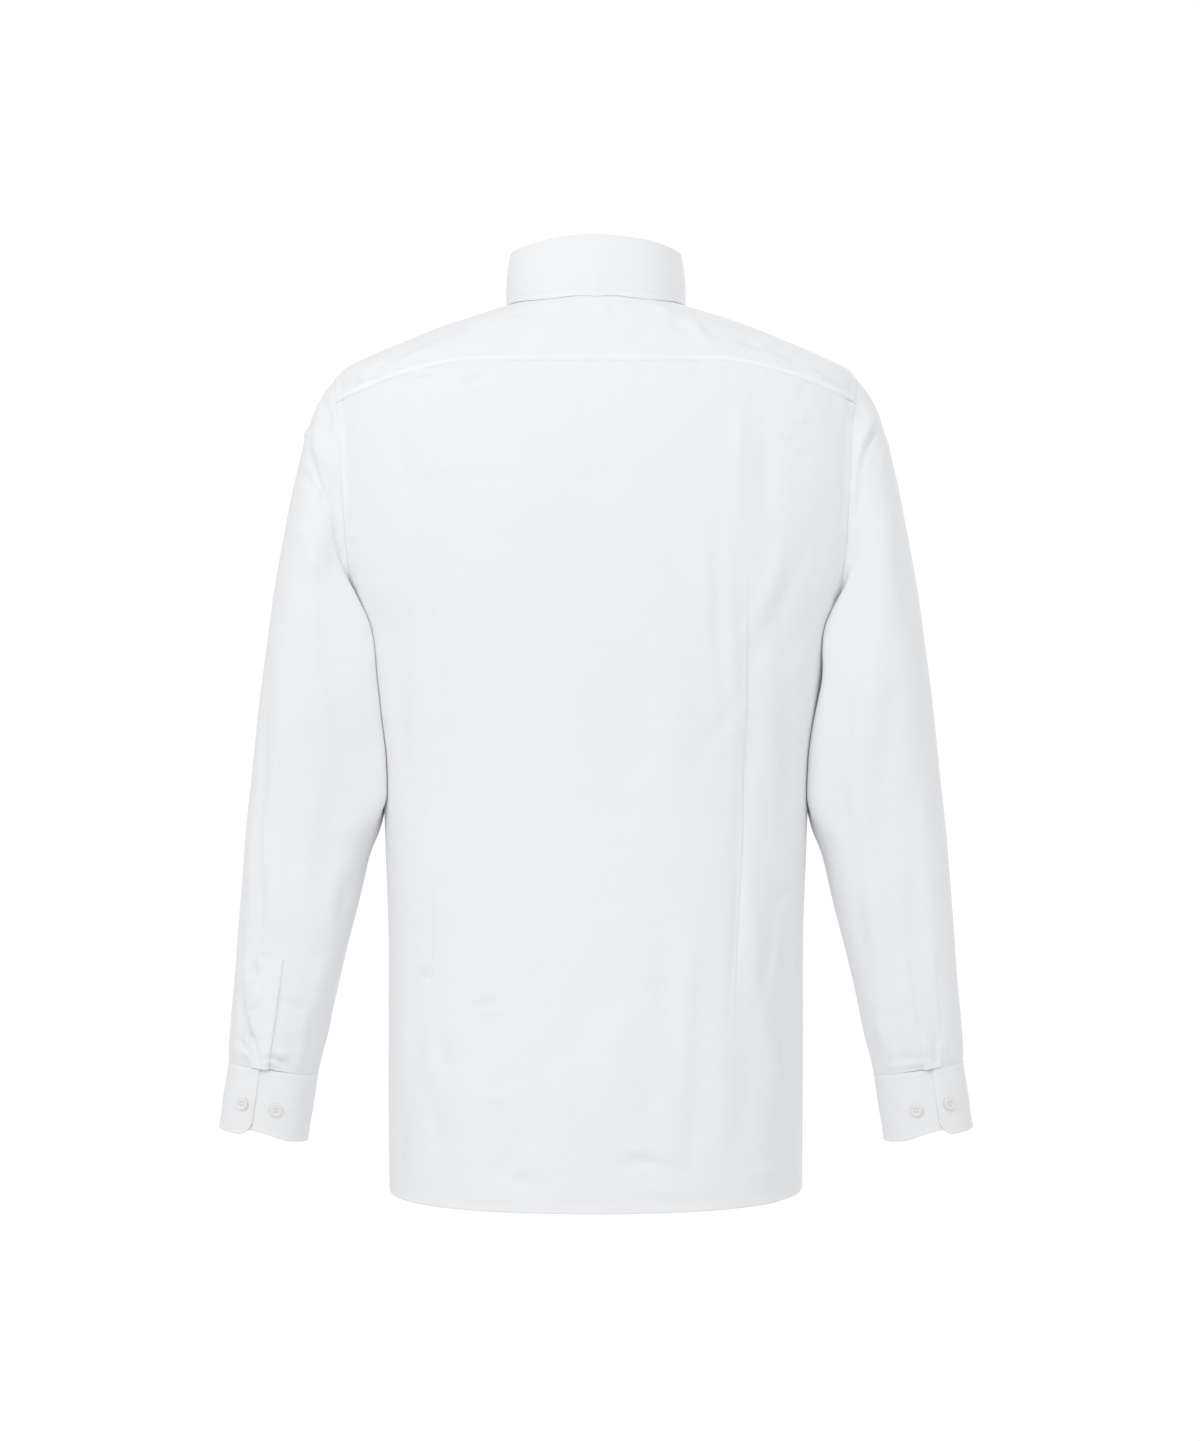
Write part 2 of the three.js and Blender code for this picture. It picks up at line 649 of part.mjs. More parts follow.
function yoke() {
  const outline = yokeOutline();
  const shares = spread(0, 1, YOKE_ROWS);
  const rows = shares.map((share) => outline.map((stop, k) => {
    if (share === 1) return stop.point.clone();
    if (k === 0 || k === outline.length - 1) {
      const point = yokeFrontPoint(1 - share);
      if (k === 0) point.x *= -1;
      return point;
    }
    const start = neckPoint(stop.neckAngle);
    const x = mix(start.x, stop.point.x, share);
    const y = mix(start.y, stop.point.y, share);
    return new THREE.Vector3(x, y, bodyHeight(x, y));
  }));
  const inwards = rows.map((row, j) => row.map((point, k) => (
    j === YOKE_ROWS && outline[k].inward ? outline[k].inward : bodyNormal(point).negate()
  )));
  const frontDrawn = drawBack(rows, ['start', 'end']);
  const backDrawn = drawBack(frontDrawn, ['bottom']);
  const drawn = frontDrawn.map((row, j) => row.map((point, k) => (
    outline[k].inward ? point : backDrawn[j][k]
  )));
  addMesh('yoke', wallGeometry(drawn, inwards, BODY_WALL), clothMaterial());
}

// Sleeves

// A point of the left sleeve: ring 0 lies on the armhole, the last ring on the cuff seam.
function sleeveBase(angle, ring) {
  const at = Object.fromEntries(Object.keys(sleeveAt).map((key) => [key, sleeveAt[key](ring)]));
  const exponent = 2 / SLEEVE_POWER;
  const outwards = signedPower(Math.cos(radians(angle)), exponent);
  const sine = Math.sin(radians(angle));
  const depth = sine >= 0 ? at.back : at.front;
  return new THREE.Vector3(
    (at.innerX + at.outerX) / 2 + (outwards * (at.outerX - at.innerX)) / 2,
    at.middleY + depth * signedPower(sine, exponent),
    (at.innerZ + at.outerZ) / 2 + (outwards * (at.outerZ - at.innerZ)) / 2,
  );
}

const FAN_RINGS = 4;
const lastRing = SLEEVE_SECTIONS.length - 1;

function sleevePoint(angle, ring) {
  const point = sleeveBase(angle, ring);
  const hold = (1 - Math.min(1, ring / FAN_RINGS)) ** 2;
  if (hold > 0) {
    const correction = armholePoint(angle).sub(sleeveBase(angle, 0));
    point.addScaledVector(correction, hold);
    point.x += SEAM_GAP * hold;
  }
  return point;
}

function sleeveMiddle(ring) {
  return sleeveBase(0, ring).add(sleeveBase(180, ring)).multiplyScalar(0.5);
}

function sleeveOutward(angle, ring) {
  const along = sleevePoint(angle, Math.min(lastRing, ring + 0.05)).sub(sleevePoint(angle, ring - 0.05));
  const around = sleevePoint(angle + 0.5, ring).sub(sleevePoint(angle - 0.5, ring));
  const normal = along.cross(around).normalize();
  return normal.dot(sleeveMiddle(ring).sub(sleevePoint(angle, ring))) > 0 ? normal.negate() : normal;
}

function sleeveRelief(angle, ring) {
  const turn = ((angle % 360) + 360) % 360;
  let height = 0;
  for (const fold of SLEEVE_FOLDS) {
    const away = ((turn - fold.angle + 540) % 360) - 180;
    const across = ring - fold.ring - fold.slant * away;
    const lengthwise = away / fold.halfLength;
    height += fold.height * Math.exp(-lengthwise * lengthwise - (across / fold.halfWidth) ** 2);
  }
  const nearBody = smoothStep(40, 75, Math.abs(turn - 180));
  const ends = smoothStep(0, 1.2, ring) * (1 - smoothStep(lastRing - 1.2, lastRing, ring));
  return height * nearBody * ends;
}

function sleeveSurface(angle, ring, above = 0) {
  const point = sleevePoint(angle, ring);
  const relief = sleeveRelief(angle, ring) + above;
  return relief === 0 ? point : point.addScaledVector(sleeveOutward(angle, ring), relief);
}

const sleeveRings = spread(0, lastRing, Math.round(lastRing / SLEEVE_ROW_STEP));

function sleeve(side) {
  const rows = sleeveRings.map((ring) => sleeveAngles.map((angle) => sleeveSurface(angle, ring)));
  const inwards = gridInwards(rows, true, (j) => sleeveMiddle(sleeveRings[j]));
  inwards[0] = sleeveAngles.map((angle) => armholeInward(armholePoint(angle)));
  const drawn = drawBack(rows, ['bottom']);
  const name = side > 0 ? 'left_sleeve' : 'right_sleeve';
  const place = side > 0 ? (grid) => grid : mirrored;
  addMesh(name, wallGeometry(place(drawn), place(inwards), SLEEVE_WALL, true), clothMaterial());
}

// The strip that finishes the slit above the cuff.
function sleevePlacket(side) {
  const rings = spread(PLACKET_TOP_RING, lastRing, 8);
  const angles = spread(...PLACKET_ANGLES, 4);
  const rows = rings.map((ring) => (
    angles.map((angle) => sleeveSurface(angle, ring, PLACKET_GAP + PLACKET_WALL))
  ));
  const inwards = rings.map((ring) => angles.map((angle) => sleeveOutward(angle, ring).negate()));
  const drawn = drawBack(rows, ['bottom']);
  const name = side > 0 ? 'left_sleeve_placket' : 'right_sleeve_placket';
  const place = side > 0 ? (grid) => grid : mirrored;
  addMesh(name, wallGeometry(place(drawn), place(inwards), PLACKET_WALL), clothMaterial());
}

// Cuffs: a band round the wrist whose outer end closes over its inner end at the back.

const cuffLean = radians(CUFF.lean);
const cuffDown = new THREE.Vector3(Math.sin(cuffLean), 0, -Math.cos(cuffLean));
const cuffAcross = new THREE.Vector3(Math.cos(cuffLean), 0, Math.sin(cuffLean));

function cuffPoint(angle, down) {
  const exponent = 2 / CUFF.power;
  const centre = new THREE.Vector3(CUFF_TOP_CENTRE.x, CUFF.middleY, CUFF_TOP_CENTRE.z);
  const across = CUFF.halfWidth * signedPower(Math.cos(radians(angle)), exponent);
  const point = centre.addScaledVector(cuffDown, down).addScaledVector(cuffAcross, across);
  point.y += CUFF.halfDepth * signedPower(Math.sin(radians(angle)), exponent);
  return point;
}

function cuffOutward(angle) {
  const around = cuffPoint(angle + 0.5, 0).sub(cuffPoint(angle - 0.5, 0));
  return around.cross(cuffDown).negate().normalize();
}

function cuffInset(angle) {
  return (CUFF_WALL + SEAM_GAP) * (1 - smoothStep(CUFF_OVER_END + 4, CUFF_OVER_END + 50, angle));
}

function cuffSurface(angle, down) {
  return cuffPoint(angle, down).addScaledVector(cuffOutward(angle), -cuffInset(angle));
}

const millimetresPerDegree = radians(1) * ((CUFF.halfWidth + CUFF.halfDepth) / 2);

// How far the lower edge is taken up at a rounded end of the band.
function cornerRise(distance) {
  if (distance >= CUFF_CORNER_RADIUS) return 0;
  const rest = CUFF_CORNER_RADIUS - distance;
  return CUFF_CORNER_RADIUS - Math.sqrt(CUFF_CORNER_RADIUS ** 2 - rest * rest);
}

function cuff(side) {
  const overEnd = CUFF_OVER_END + 360;
  const cornerSpan = CUFF_CORNER_RADIUS / millimetresPerDegree;
  const cornerShares = [0, 0.1, 0.3, 0.6, 1];
  const angles = [
    ...cornerShares.map((share) => CUFF_UNDER_START + share * cornerSpan),
    ...spread(CUFF_UNDER_START + cornerSpan, overEnd - cornerSpan, 26).slice(1, -1),
    ...cornerShares.toReversed().map((share) => overEnd - share * cornerSpan),
  ];
  const rows = spread(0, 1, 3).map((share) => angles.map((angle) => {
    const fromEnd = Math.min(angle - CUFF_UNDER_START, overEnd - angle) * millimetresPerDegree;
    const skew = CUFF_UNDER_LIFT * (1 - smoothStep(CUFF_OVER_END, CUFF_OVER_END + 55, angle));
    const height = CUFF.height - cornerRise(fromEnd) - skew;
    return cuffSurface(angle, mix(SEAM_GAP / 2, height, share));
  }));
  const inwards = rows.map(() => angles.map((angle) => cuffOutward(angle).negate()));
  const name = side > 0 ? 'left_cuff' : 'right_cuff';
  const place = side > 0 ? (grid) => grid : mirrored;
  addMesh(name, wallGeometry(place(rows), place(inwards), CUFF_WALL), clothMaterial());
}

// Collar

function standHeight(angle) {
  const turn = Math.min(180, Math.abs(angle));
  const back = mix(STAND_HEIGHT.back, STAND_HEIGHT.side, smoothStep(0, 90, turn));
  return mix(back, STAND_HEIGHT.front, smoothStep(90, 180, turn));
}

function ringOutward(ring, angle) {
  const ahead = ringPoint(ring, angle + 0.5);
  const around = ahead.sub(ringPoint(ring, angle - 0.5)).normalize();
  return new THREE.Vector3(-around.y, around.x, 0);
}

// How far the right end of the stand is moved in, to pass behind the left end.
function standInset(angle) {
  return (COLLAR_WALL + SEAM_GAP) * smoothStep(140, 164, -angle);
}

function standPoint(angle, share) {
  const foot = ringPoint(NECK, angle);
  const head = ringPoint(STAND_TOP, angle);
  const footZ = bodyHeight(foot.x, foot.y) + SEAM_GAP;
  const point = new THREE.Vector3(
    mix(foot.x, head.x, share),
    mix(foot.y, head.y, share),
    mix(footZ, footZ + standHeight(angle), share),
  );
  return point.addScaledVector(ringOutward(NECK, angle), -standInset(angle));
}

const collarSideAngles = [
  ...spread(180, neckFrontCorner, FRONT_NECK_SPANS),
  ...armholeTopAngles.slice(1, -1).map((_, k) => shoulderNeckAngle(k + 1)),
];

function collarStand() {
  const leftAngles = [neckOverlapAngle, ...collarSideAngles];
  const angles = [
    ...leftAngles,
    ...backColumns.toReversed().map((column) => column * neckBackCorner),
    ...leftAngles.toReversed().map((angle) => -angle),
  ];
  const rows = spread(1, 0, 2).map((share) => angles.map((angle) => standPoint(angle, share)));
  const inwards = rows.map(() => angles.map((angle) => ringOutward(NECK, angle).negate()));
  addMesh('collar_stand', wallGeometry(rows, inwards, COLLAR_WALL), clothMaterial());
}

// One line of the leaf from its seam on the stand over the roll and down to its lower edge.
function leafLine(side, turn) {
  const angle = Math.min(turn, LEAF_END_ANGLE);
  const share = angle / LEAF_END_ANGLE;
  const outward = ringOutward(STAND_TOP, angle);
  const head = ringPoint(STAND_TOP, angle);
  const top = standPoint(angle, 1).z + LEAF_SEAM_GAP;
  const start = new THREE.Vector3(head.x, head.y, top).addScaledVector(outward, -COLLAR_WALL);
  const up = new THREE.Vector3(0, 0, 1);
  const points = [start];
  const inwards = [outward.clone()];
  const rollBase = 1.5;
  for (const roll of spread(180, 0, 4)) {
    const sideways = Math.cos(radians(roll));
    const upwards = Math.sin(radians(roll));
    const point = start.clone().addScaledVector(outward, LEAF_ROLL_RADIUS * (1 + sideways));
    point.addScaledVector(up, rollBase + LEAF_ROLL_RADIUS * upwards);
    points.push(point);
    inwards.push(outward.clone().multiplyScalar(-sideways).addScaledVector(up, -upwards));
  }
  const edgeX = leafEdgeAt.x(share);
  const edgeY = leafEdgeAt.y(share);
  const edgePlan = new THREE.Vector3(edgeX, edgeY, 0).addScaledVector(outward, -COLLAR_WALL);
  const edgeZ = bodyHeight(edgePlan.x, edgePlan.y) + leafEdgeAt.lift(share);
  const edge = new THREE.Vector3(edgeX, edgeY, edgeZ);
  const shoulder = points[points.length - 1];
  for (const fall of spread(0, 1, 4).slice(1)) {
    const point = shoulder.clone().lerp(edge, fall);
    point.addScaledVector(outward, LEAF_BULGE * Math.sin(Math.PI * fall) * (1 - 0.4 * share));
    points.push(point);
    inwards.push(outward.clone().negate());
  }
  if (side < 0) {
    for (const vector of [...points, ...inwards]) vector.x *= -1;
  }
  return { points, inwards };
}

function collarLeaf() {
  const backAngles = acrossShares.filter((_, k) => k % 2 === 0).map((share) => share * neckBackCorner);
  const angles = [...backAngles, ...collarSideAngles.toReversed()];
  const lines = [
    ...angles.slice(1).toReversed().map((angle) => leafLine(-1, angle)),
    ...angles.map((angle) => leafLine(1, angle)),
  ];
  const rows = lines[0].points.map((_, k) => lines.map((line) => line.points[k]));
  const inwards = lines[0].points.map((_, k) => lines.map((line) => line.inwards[k]));
  addMesh('collar_leaf', wallGeometry(rows, inwards, COLLAR_WALL), clothMaterial());
}

// Buttons

const buttonProfile = [
  [0, 0],
  [BUTTON_RADIUS * 0.8, 0],
  [BUTTON_RADIUS, BUTTON_THICKNESS * 0.45],
  [BUTTON_RADIUS * 0.86, BUTTON_THICKNESS],
  [BUTTON_RADIUS * 0.6, BUTTON_THICKNESS * 0.72],
  [0, BUTTON_THICKNESS * 0.72],
].map(([radius, height]) => new THREE.Vector2(radius, height));

function addButton(name, point, outward) {
  const geometry = new THREE.LatheGeometry(buttonProfile, BUTTON_SIDES);
  const mesh = addMesh(name, geometry, buttonMaterial());
  mesh.position.copy(point).addScaledVector(outward, SEAM_GAP);
  mesh.quaternion.setFromUnitVectors(new THREE.Vector3(0, 1, 0), outward);
}

function cuffButtons(side) {
  for (const button of CUFF_BUTTONS) {
    const angle = button.angle < CUFF_OVER_END ? button.angle + 360 : button.angle;
    const point = cuffSurface(angle, button.down);
    const outward = cuffOutward(angle);
    for (const vector of [point, outward]) vector.x *= side;
    const hand = side > 0 ? 'left' : 'right';
    addButton(`${hand}_cuff_button_${button.name}`, point, outward);
  }
}

function frontButtons() {
  for (let k = 0; k < FRONT_BUTTON_COUNT; k += 1) {
    const point = bodyPointAtX(0, FRONT_BUTTON_TOP_Z - k * FRONT_BUTTON_PITCH, -1);
    addButton(`front_button_${k + 1}`, point, bodyNormal(point));
  }
  const standMiddle = standPoint(180, 0.45);
  const slope = standPoint(180, 1).sub(standPoint(180, 0)).normalize();
  const outward = new THREE.Vector3(0, -slope.z, slope.y);
  addButton('collar_button', standMiddle, outward.normalize());
}

backPanel();
yoke();
collarStand();
collarLeaf();
for (const side of [1, -1]) {
  frontPanel(side);
  sleeve(side);
  sleevePlacket(side);
  cuff(side);
  cuffButtons(side);
}
frontButtons();

export default group;
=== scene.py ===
"""A white long sleeve dress shirt, filled out as if worn, with its back towards +Y.

The cloth pieces are numpy surfaces on the form of the frame's solids. Tables and sizes are in
millimetres and meshes in metres. +Z is up and +X is the wearer's left side.
"""

import logging
import math
from collections.abc import Sequence
from dataclasses import dataclass, field
from enum import Enum

import bpy
import numpy as np
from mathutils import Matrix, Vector


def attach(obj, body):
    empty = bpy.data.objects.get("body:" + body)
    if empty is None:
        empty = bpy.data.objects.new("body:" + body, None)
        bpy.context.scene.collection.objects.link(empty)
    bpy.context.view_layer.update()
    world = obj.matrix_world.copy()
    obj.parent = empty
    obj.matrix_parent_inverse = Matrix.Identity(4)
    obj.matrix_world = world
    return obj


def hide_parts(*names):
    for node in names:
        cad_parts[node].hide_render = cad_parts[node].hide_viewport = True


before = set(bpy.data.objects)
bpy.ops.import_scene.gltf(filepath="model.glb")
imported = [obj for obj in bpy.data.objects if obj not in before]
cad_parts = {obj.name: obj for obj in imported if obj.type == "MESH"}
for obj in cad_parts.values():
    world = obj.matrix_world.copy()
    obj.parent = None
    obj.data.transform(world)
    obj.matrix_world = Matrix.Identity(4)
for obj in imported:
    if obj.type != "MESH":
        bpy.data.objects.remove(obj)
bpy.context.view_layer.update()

Array = np.ndarray
log = logging.getLogger("shirt")

MM = 0.001


# Small functions of arrays


def smooth_step(low: float, high: float, value: Array) -> Array:
    """Rises from 0 at low to 1 at high as 3t^2 - 2t^3."""
    share = np.clip((np.asarray(value, float) - low) / (high - low), 0, 1)
    return share * share * (3 - 2 * share)


def signed_power(value: Array, exponent: Array) -> Array:
    """|value| to the exponent, with value's sign."""
    return np.sign(value) * np.abs(value) ** exponent


def mix(start: Array, end: Array, share: Array) -> Array:
    """The straight line from start to end."""
    return start + (end - start) * share


def unit(vectors: Array) -> Array:
    """The vectors at length 1."""
    return vectors / np.maximum(np.linalg.norm(vectors, axis=-1, keepdims=True), 1e-9)


def degrees_of(value: Array) -> Array:
    """Radians as degrees."""
    return np.degrees(value)


def graded(low: float, high: float, count: int, dense: Sequence[tuple[float, float, float]] = ()) -> Array:
    """Places from low to high that crowd together where they are told to.

    Args:
        low: The first place.
        high: The last place.
        count: How many places.
        dense: For each crowded spot its place, its half width and how many times denser it is.

    Returns:
        The places, at equal steps of the integral of 1 + gain * exp(-((t - place) / width)^2).
    """
    fine = np.linspace(low, high, 4001)
    density = np.ones_like(fine)
    for place, width, gain in dense:
        density += gain * np.exp(-(((fine - place) / width) ** 2))
    total = np.concatenate([[0], np.cumsum((density[1:] + density[:-1]) / 2)])
    return np.interp(np.linspace(0, total[-1], count), total, fine)


def ripple(along: Array, pitch: float, seed: int) -> Array:
    """An uneven wave between about -1 and 1: three sines whose lengths have no common measure."""
    phases = np.random.default_rng(seed).uniform(0, 2 * math.pi, 3)
    turn = 2 * math.pi * np.asarray(along, float) / pitch
    return (
        0.5 * np.sin(turn + phases[0])
        + 0.32 * np.sin(turn * 0.618 + phases[1])
        + 0.26 * np.sin(turn * 1.732 + phases[2])
    )


class SmoothTable:
    """Rows of numbers joined by smooth curves that never overshoot them."""

    def __init__(self, names: str, rows: Sequence[Sequence[float]]) -> None:
        """Keeps the rows in order of their first column; names lists the other columns."""
        ordered = np.array(sorted(tuple(row) for row in rows), float)
        self.places = ordered[:, 0]
        self.columns = {name: ordered[:, k + 1] for k, name in enumerate(names.split())}
        self.slopes = {name: self._slopes(values) for name, values in self.columns.items()}

    def _slopes(self, values: Array) -> Array:
        """Slope at each row: the harmonic mean of the rises beside it, or 0 at a turning point."""
        rises = np.diff(values) / np.diff(self.places)
        product = rises[:-1] * rises[1:]
        total = rises[:-1] + rises[1:]
        middle = np.where(product > 0, 2 * product / np.where(product > 0, total, 1), 0)
        return np.concatenate([rises[:1], middle, rises[-1:]])

    def at(self, name: str, place: Array) -> Array:
        """The named column's value at each place, by cubic pieces between the rows."""
        place = np.asarray(place, float)
        last = len(self.places) - 2
        k = np.clip(np.searchsorted(self.places, place, side="left") - 1, 0, last)
        step = self.places[k + 1] - self.places[k]
        share = np.clip((place - self.places[k]) / step, 0, 1)
        rest = 1 - share
        values, slopes = self.columns[name], self.slopes[name]
        return (
            values[k] * (1 + 2 * share) * rest * rest
            + slopes[k] * step * share * rest * rest
            + values[k + 1] * (3 - 2 * share) * share * share
            - slopes[k + 1] * step * share * share * rest
        )


BODY_SECTIONS = SmoothTable("half_width back front power", [
    (6, 46, 52, 38, 2.15), (0, 61, 57, 44, 2.15), (-5.6, 69.5, 64.5, 48, 2.15),
    (-8.6, 78, 67, 50, 2.15), (-14.2, 97, 70, 54, 2.2), (-25.7, 133, 75.5, 62, 2.25),
    (-38.8, 165, 81.5, 71, 2.3), (-51.4, 194.5, 87, 78.5, 2.35), (-63.6, 219, 92, 84.5, 2.4),
    (-75, 228, 96, 89.5, 2.4), (-100, 234, 103, 97, 2.4), (-150, 237, 112, 109, 2.4),
    (-200, 233, 116, 116.5, 2.4), (-250, 221, 117, 121, 2.4), (-292, 205, 116, 122, 2.4),
    (-328, 199.5, 114.5, 121.5, 2.4), (-350, 195.5, 113.5, 121, 2.4),
    (-402, 186.5, 112, 119.5, 2.35), (-437, 184.2, 112, 119, 2.35),
    (-480, 182.5, 114, 120, 2.35), (-567, 180, 121, 125, 2.3), (-654, 180, 129, 131, 2.3),
    (-740, 179.5, 135, 136, 2.3), (-790, 179, 137.5, 138.5, 2.3),
])

SLEEVE_SECTIONS = SmoothTable("inner_x inner_z outer_x outer_z middle_y back front", [
    (0, 205.2, -292, 222.5, -67, 0, 57, 52), (1, 205.6, -294.5, 239, -88.8, 0, 59, 55),
    (2, 205.7, -298, 250.5, -118, 0, 61, 58), (3, 205.4, -303, 261, -158, 0, 63.5, 61),
    (4, 204.3, -312, 271, -208, 0, 66, 64), (5, 202.4, -328, 279.5, -256, 0, 67.5, 66),
    (6, 199, -352, 286, -304, 0, 67, 66), (7, 194.5, -381, 291.5, -346, 0, 63, 62),
    (8, 188.9, -413, 296.4, -391, 0, 57, 56), (9, 186.7, -441, 300.3, -428, 0, 52, 51),
    (10, 190.2, -466, 303, -451, 0, 49, 48), (11, 196.8, -485, 304.8, -470, 0, 47.5, 46.5),
    (12, 206.5, -526, 308.2, -511, -1, 46, 45), (13, 217.5, -568, 311.6, -554, -3, 44.5, 43.5),
    (14, 226, -604, 314.2, -591, -4, 43, 42), (15, 233, -638, 317, -625, -6, 41.5, 40.5),
    (16, 239.5, -662, 319, -650.5, -7, 39.5, 39), (17, 242.3, -675.1, 319.7, -663.3, -8, 37.5, 37),
])

LEAF_EDGE = SmoothTable("x y lift", [
    (0, 0, 66.5, 1.7), (0.17, 37, 60.2, 1.7), (0.34, 64.5, 39, 1.8), (0.51, 77.9, 0, 1.9),
    (0.65, 77.5, -29, 1.6), (0.78, 73.5, -56, 1.5), (0.9, 66.5, -77, 1.4), (1, 56, -92, 1.3),
])


class BodyForm:
    """The torso as level superellipse sections, wider or narrower with height."""

    def width(self, z: Array) -> Array:
        """Half of the section's width."""
        return BODY_SECTIONS.at("half_width", z)

    def power(self, z: Array) -> Array:
        """The section's exponent: 2 is an ellipse and more is squarer."""
        return BODY_SECTIONS.at("power", z)

    def depth(self, z: Array, y: Array) -> Array:
        """The section's depth, behind where y is positive and in front elsewhere."""
        return np.where(y >= 0, BODY_SECTIONS.at("back", z), BODY_SECTIONS.at("front", z))

    def point(self, angle: Array, z: Array) -> Array:
        """Width * cos^(2/p) and depth * sin^(2/p) at an angle in degrees; 90 is mid back."""
        angle, z = np.broadcast_arrays(np.asarray(angle, float), np.asarray(z, float))
        exponent = 2 / self.power(z)
        sine, cosine = np.sin(np.radians(angle)), np.cos(np.radians(angle))
        x = self.width(z) * signed_power(cosine, exponent)
        y = self.depth(z, sine) * signed_power(sine, exponent)
        return np.stack([x, y, z], axis=-1)

    def reach(self, x: Array, y: Array, z: Array) -> Array:
        """|x / width|^p + |y / depth|^p: below 1 inside the section and above 1 outside."""
        power = self.power(z)
        return (np.abs(x) / self.width(z)) ** power + (np.abs(y) / self.depth(z, y)) ** power

    def angle(self, points: Array) -> Array:
        """The angle of points on the form, in degrees."""
        x, y, z = points[..., 0], points[..., 1], points[..., 2]
        half = self.power(z) / 2
        across = signed_power(x / self.width(z), half)
        along = signed_power(y / self.depth(z, y), half)
        return degrees_of(np.arctan2(along, across))

    def normal(self, points: Array) -> Array:
        """Outward normals: the slope of reach over 0.05 mm steps."""
        x, y, z = points[..., 0], points[..., 1], points[..., 2]
        step = 0.05
        return unit(np.stack([
            self.reach(x + step, y, z) - self.reach(x - step, y, z),
            self.reach(x, y + step, z) - self.reach(x, y - step, z),
            self.reach(x, y, z + step) - self.reach(x, y, z - step),
        ], axis=-1))

    def height(self, x: Array, y: Array) -> Array:
        """The form's height over places in plan, by halving the span 40 times."""
        low, high = np.full(np.shape(x), -130.0), np.full(np.shape(x), 6.0)
        for _ in range(40):
            middle = (low + high) / 2
            outside = self.reach(x, y, middle) > 1
            low, high = np.where(outside, low, middle), np.where(outside, middle, high)
        return low

    def at_x(self, x: Array, z: Array, side: int) -> Array:
        """Points at x on the back (side 1) or front (side -1)."""
        x, z = np.broadcast_arrays(np.asarray(x, float), np.asarray(z, float))
        power = self.power(z)
        rest = np.maximum(0, 1 - (np.abs(x) / self.width(z)) ** power)
        y = side * self.depth(z, np.full(z.shape, side)) * rest ** (1 / power)
        return np.stack([x, y, z], axis=-1)


@dataclass(frozen=True)
class Armhole:
    """The left armhole's oval: 0 degrees is the shoulder's tip, 90 the back, 180 the underarm."""

    form: BodyForm
    top_z: float = -67
    underarm_z: float = -292
    back: float = 57
    front: float = 52
    power: float = 2.2

    @property
    def middle_z(self) -> float:
        """Height of the oval's middle."""
        return (self.top_z + self.underarm_z) / 2

    @property
    def half_height(self) -> float:
        """Half of the oval's height."""
        return (self.top_z - self.underarm_z) / 2

    def point(self, angle: Array) -> Array:
        """A superellipse in YZ, set out in X to the body's form."""
        angle = np.asarray(angle, float)
        exponent = 2 / self.power
        sine = np.sin(np.radians(angle))
        y = np.where(sine >= 0, self.back, self.front) * signed_power(sine, exponent)
        z = self.middle_z + self.half_height * signed_power(np.cos(np.radians(angle)), exponent)
        power = self.form.power(z)
        x = self.form.width(z) * (1 - (np.abs(y) / self.form.depth(z, y)) ** power) ** (1 / power)
        return np.stack([x, y, z], axis=-1)

    def back_corner(self, z: float) -> float:
        """The angle behind the tip where the oval is at height z."""
        return math.degrees(math.acos(((z - self.middle_z) / self.half_height) ** (self.power / 2)))

    def front_corner(self, y: float) -> float:
        """The angle before the tip where the oval is at that y."""
        return -math.degrees(math.asin((-y / self.front) ** (self.power / 2)))

    def nearest(self, points: Array) -> tuple[Array, Array]:
        """Distance from each point to the seam, and how far round the seam that is, in mm."""
        angles = np.linspace(-180, 180, 481)
        seam = self.point(angles)
        round_seam = np.concatenate([[0], np.cumsum(np.linalg.norm(np.diff(seam, axis=0), axis=1))])
        flat = points.reshape(-1, 3).astype(np.float32)
        flat = np.abs(flat) * np.array([1, 0, 0]) + flat * np.array([0, 1, 1])
        squares = (flat ** 2).sum(1)[:, None] + (seam ** 2).sum(1)[None, :] - 2 * flat @ seam.T
        index = squares.argmin(axis=1)
        distance = np.sqrt(np.maximum(0, squares[np.arange(len(flat)), index]))
        shape = points.shape[:-1]
        return distance.reshape(shape), round_seam[index].reshape(shape)


@dataclass(frozen=True)
class Ring:
    """A level superellipse, by angle from mid back round the left side."""

    half_width: float
    back: float
    front: float
    power: float = 2.1

    def plan(self, angle: Array) -> tuple[Array, Array]:
        """x and y at an angle in degrees."""
        exponent = 2 / self.power
        cosine = np.cos(np.radians(angle))
        x = self.half_width * signed_power(np.sin(np.radians(angle)), exponent)
        y = np.where(cosine >= 0, self.back, self.front) * signed_power(cosine, exponent)
        return x, y

    def outward(self, angle: Array) -> Array:
        """Level outward normals."""
        ahead, behind = self.plan(angle + 0.5), self.plan(angle - 0.5)
        across, along = ahead[0] - behind[0], ahead[1] - behind[1]
        return unit(np.stack([-along, across, np.zeros_like(across)], axis=-1))


FORM = BodyForm()
ARMHOLE = Armhole(FORM)
NECK = Ring(69.5, 57, 76)
STAND_TOP = Ring(70.5, 51.5, 73)


def neck_point(angle: Array) -> Array:
    """The neck seam on the body's form."""
    x, y = NECK.plan(angle)
    return np.stack([x, y, FORM.height(x, y)], axis=-1)


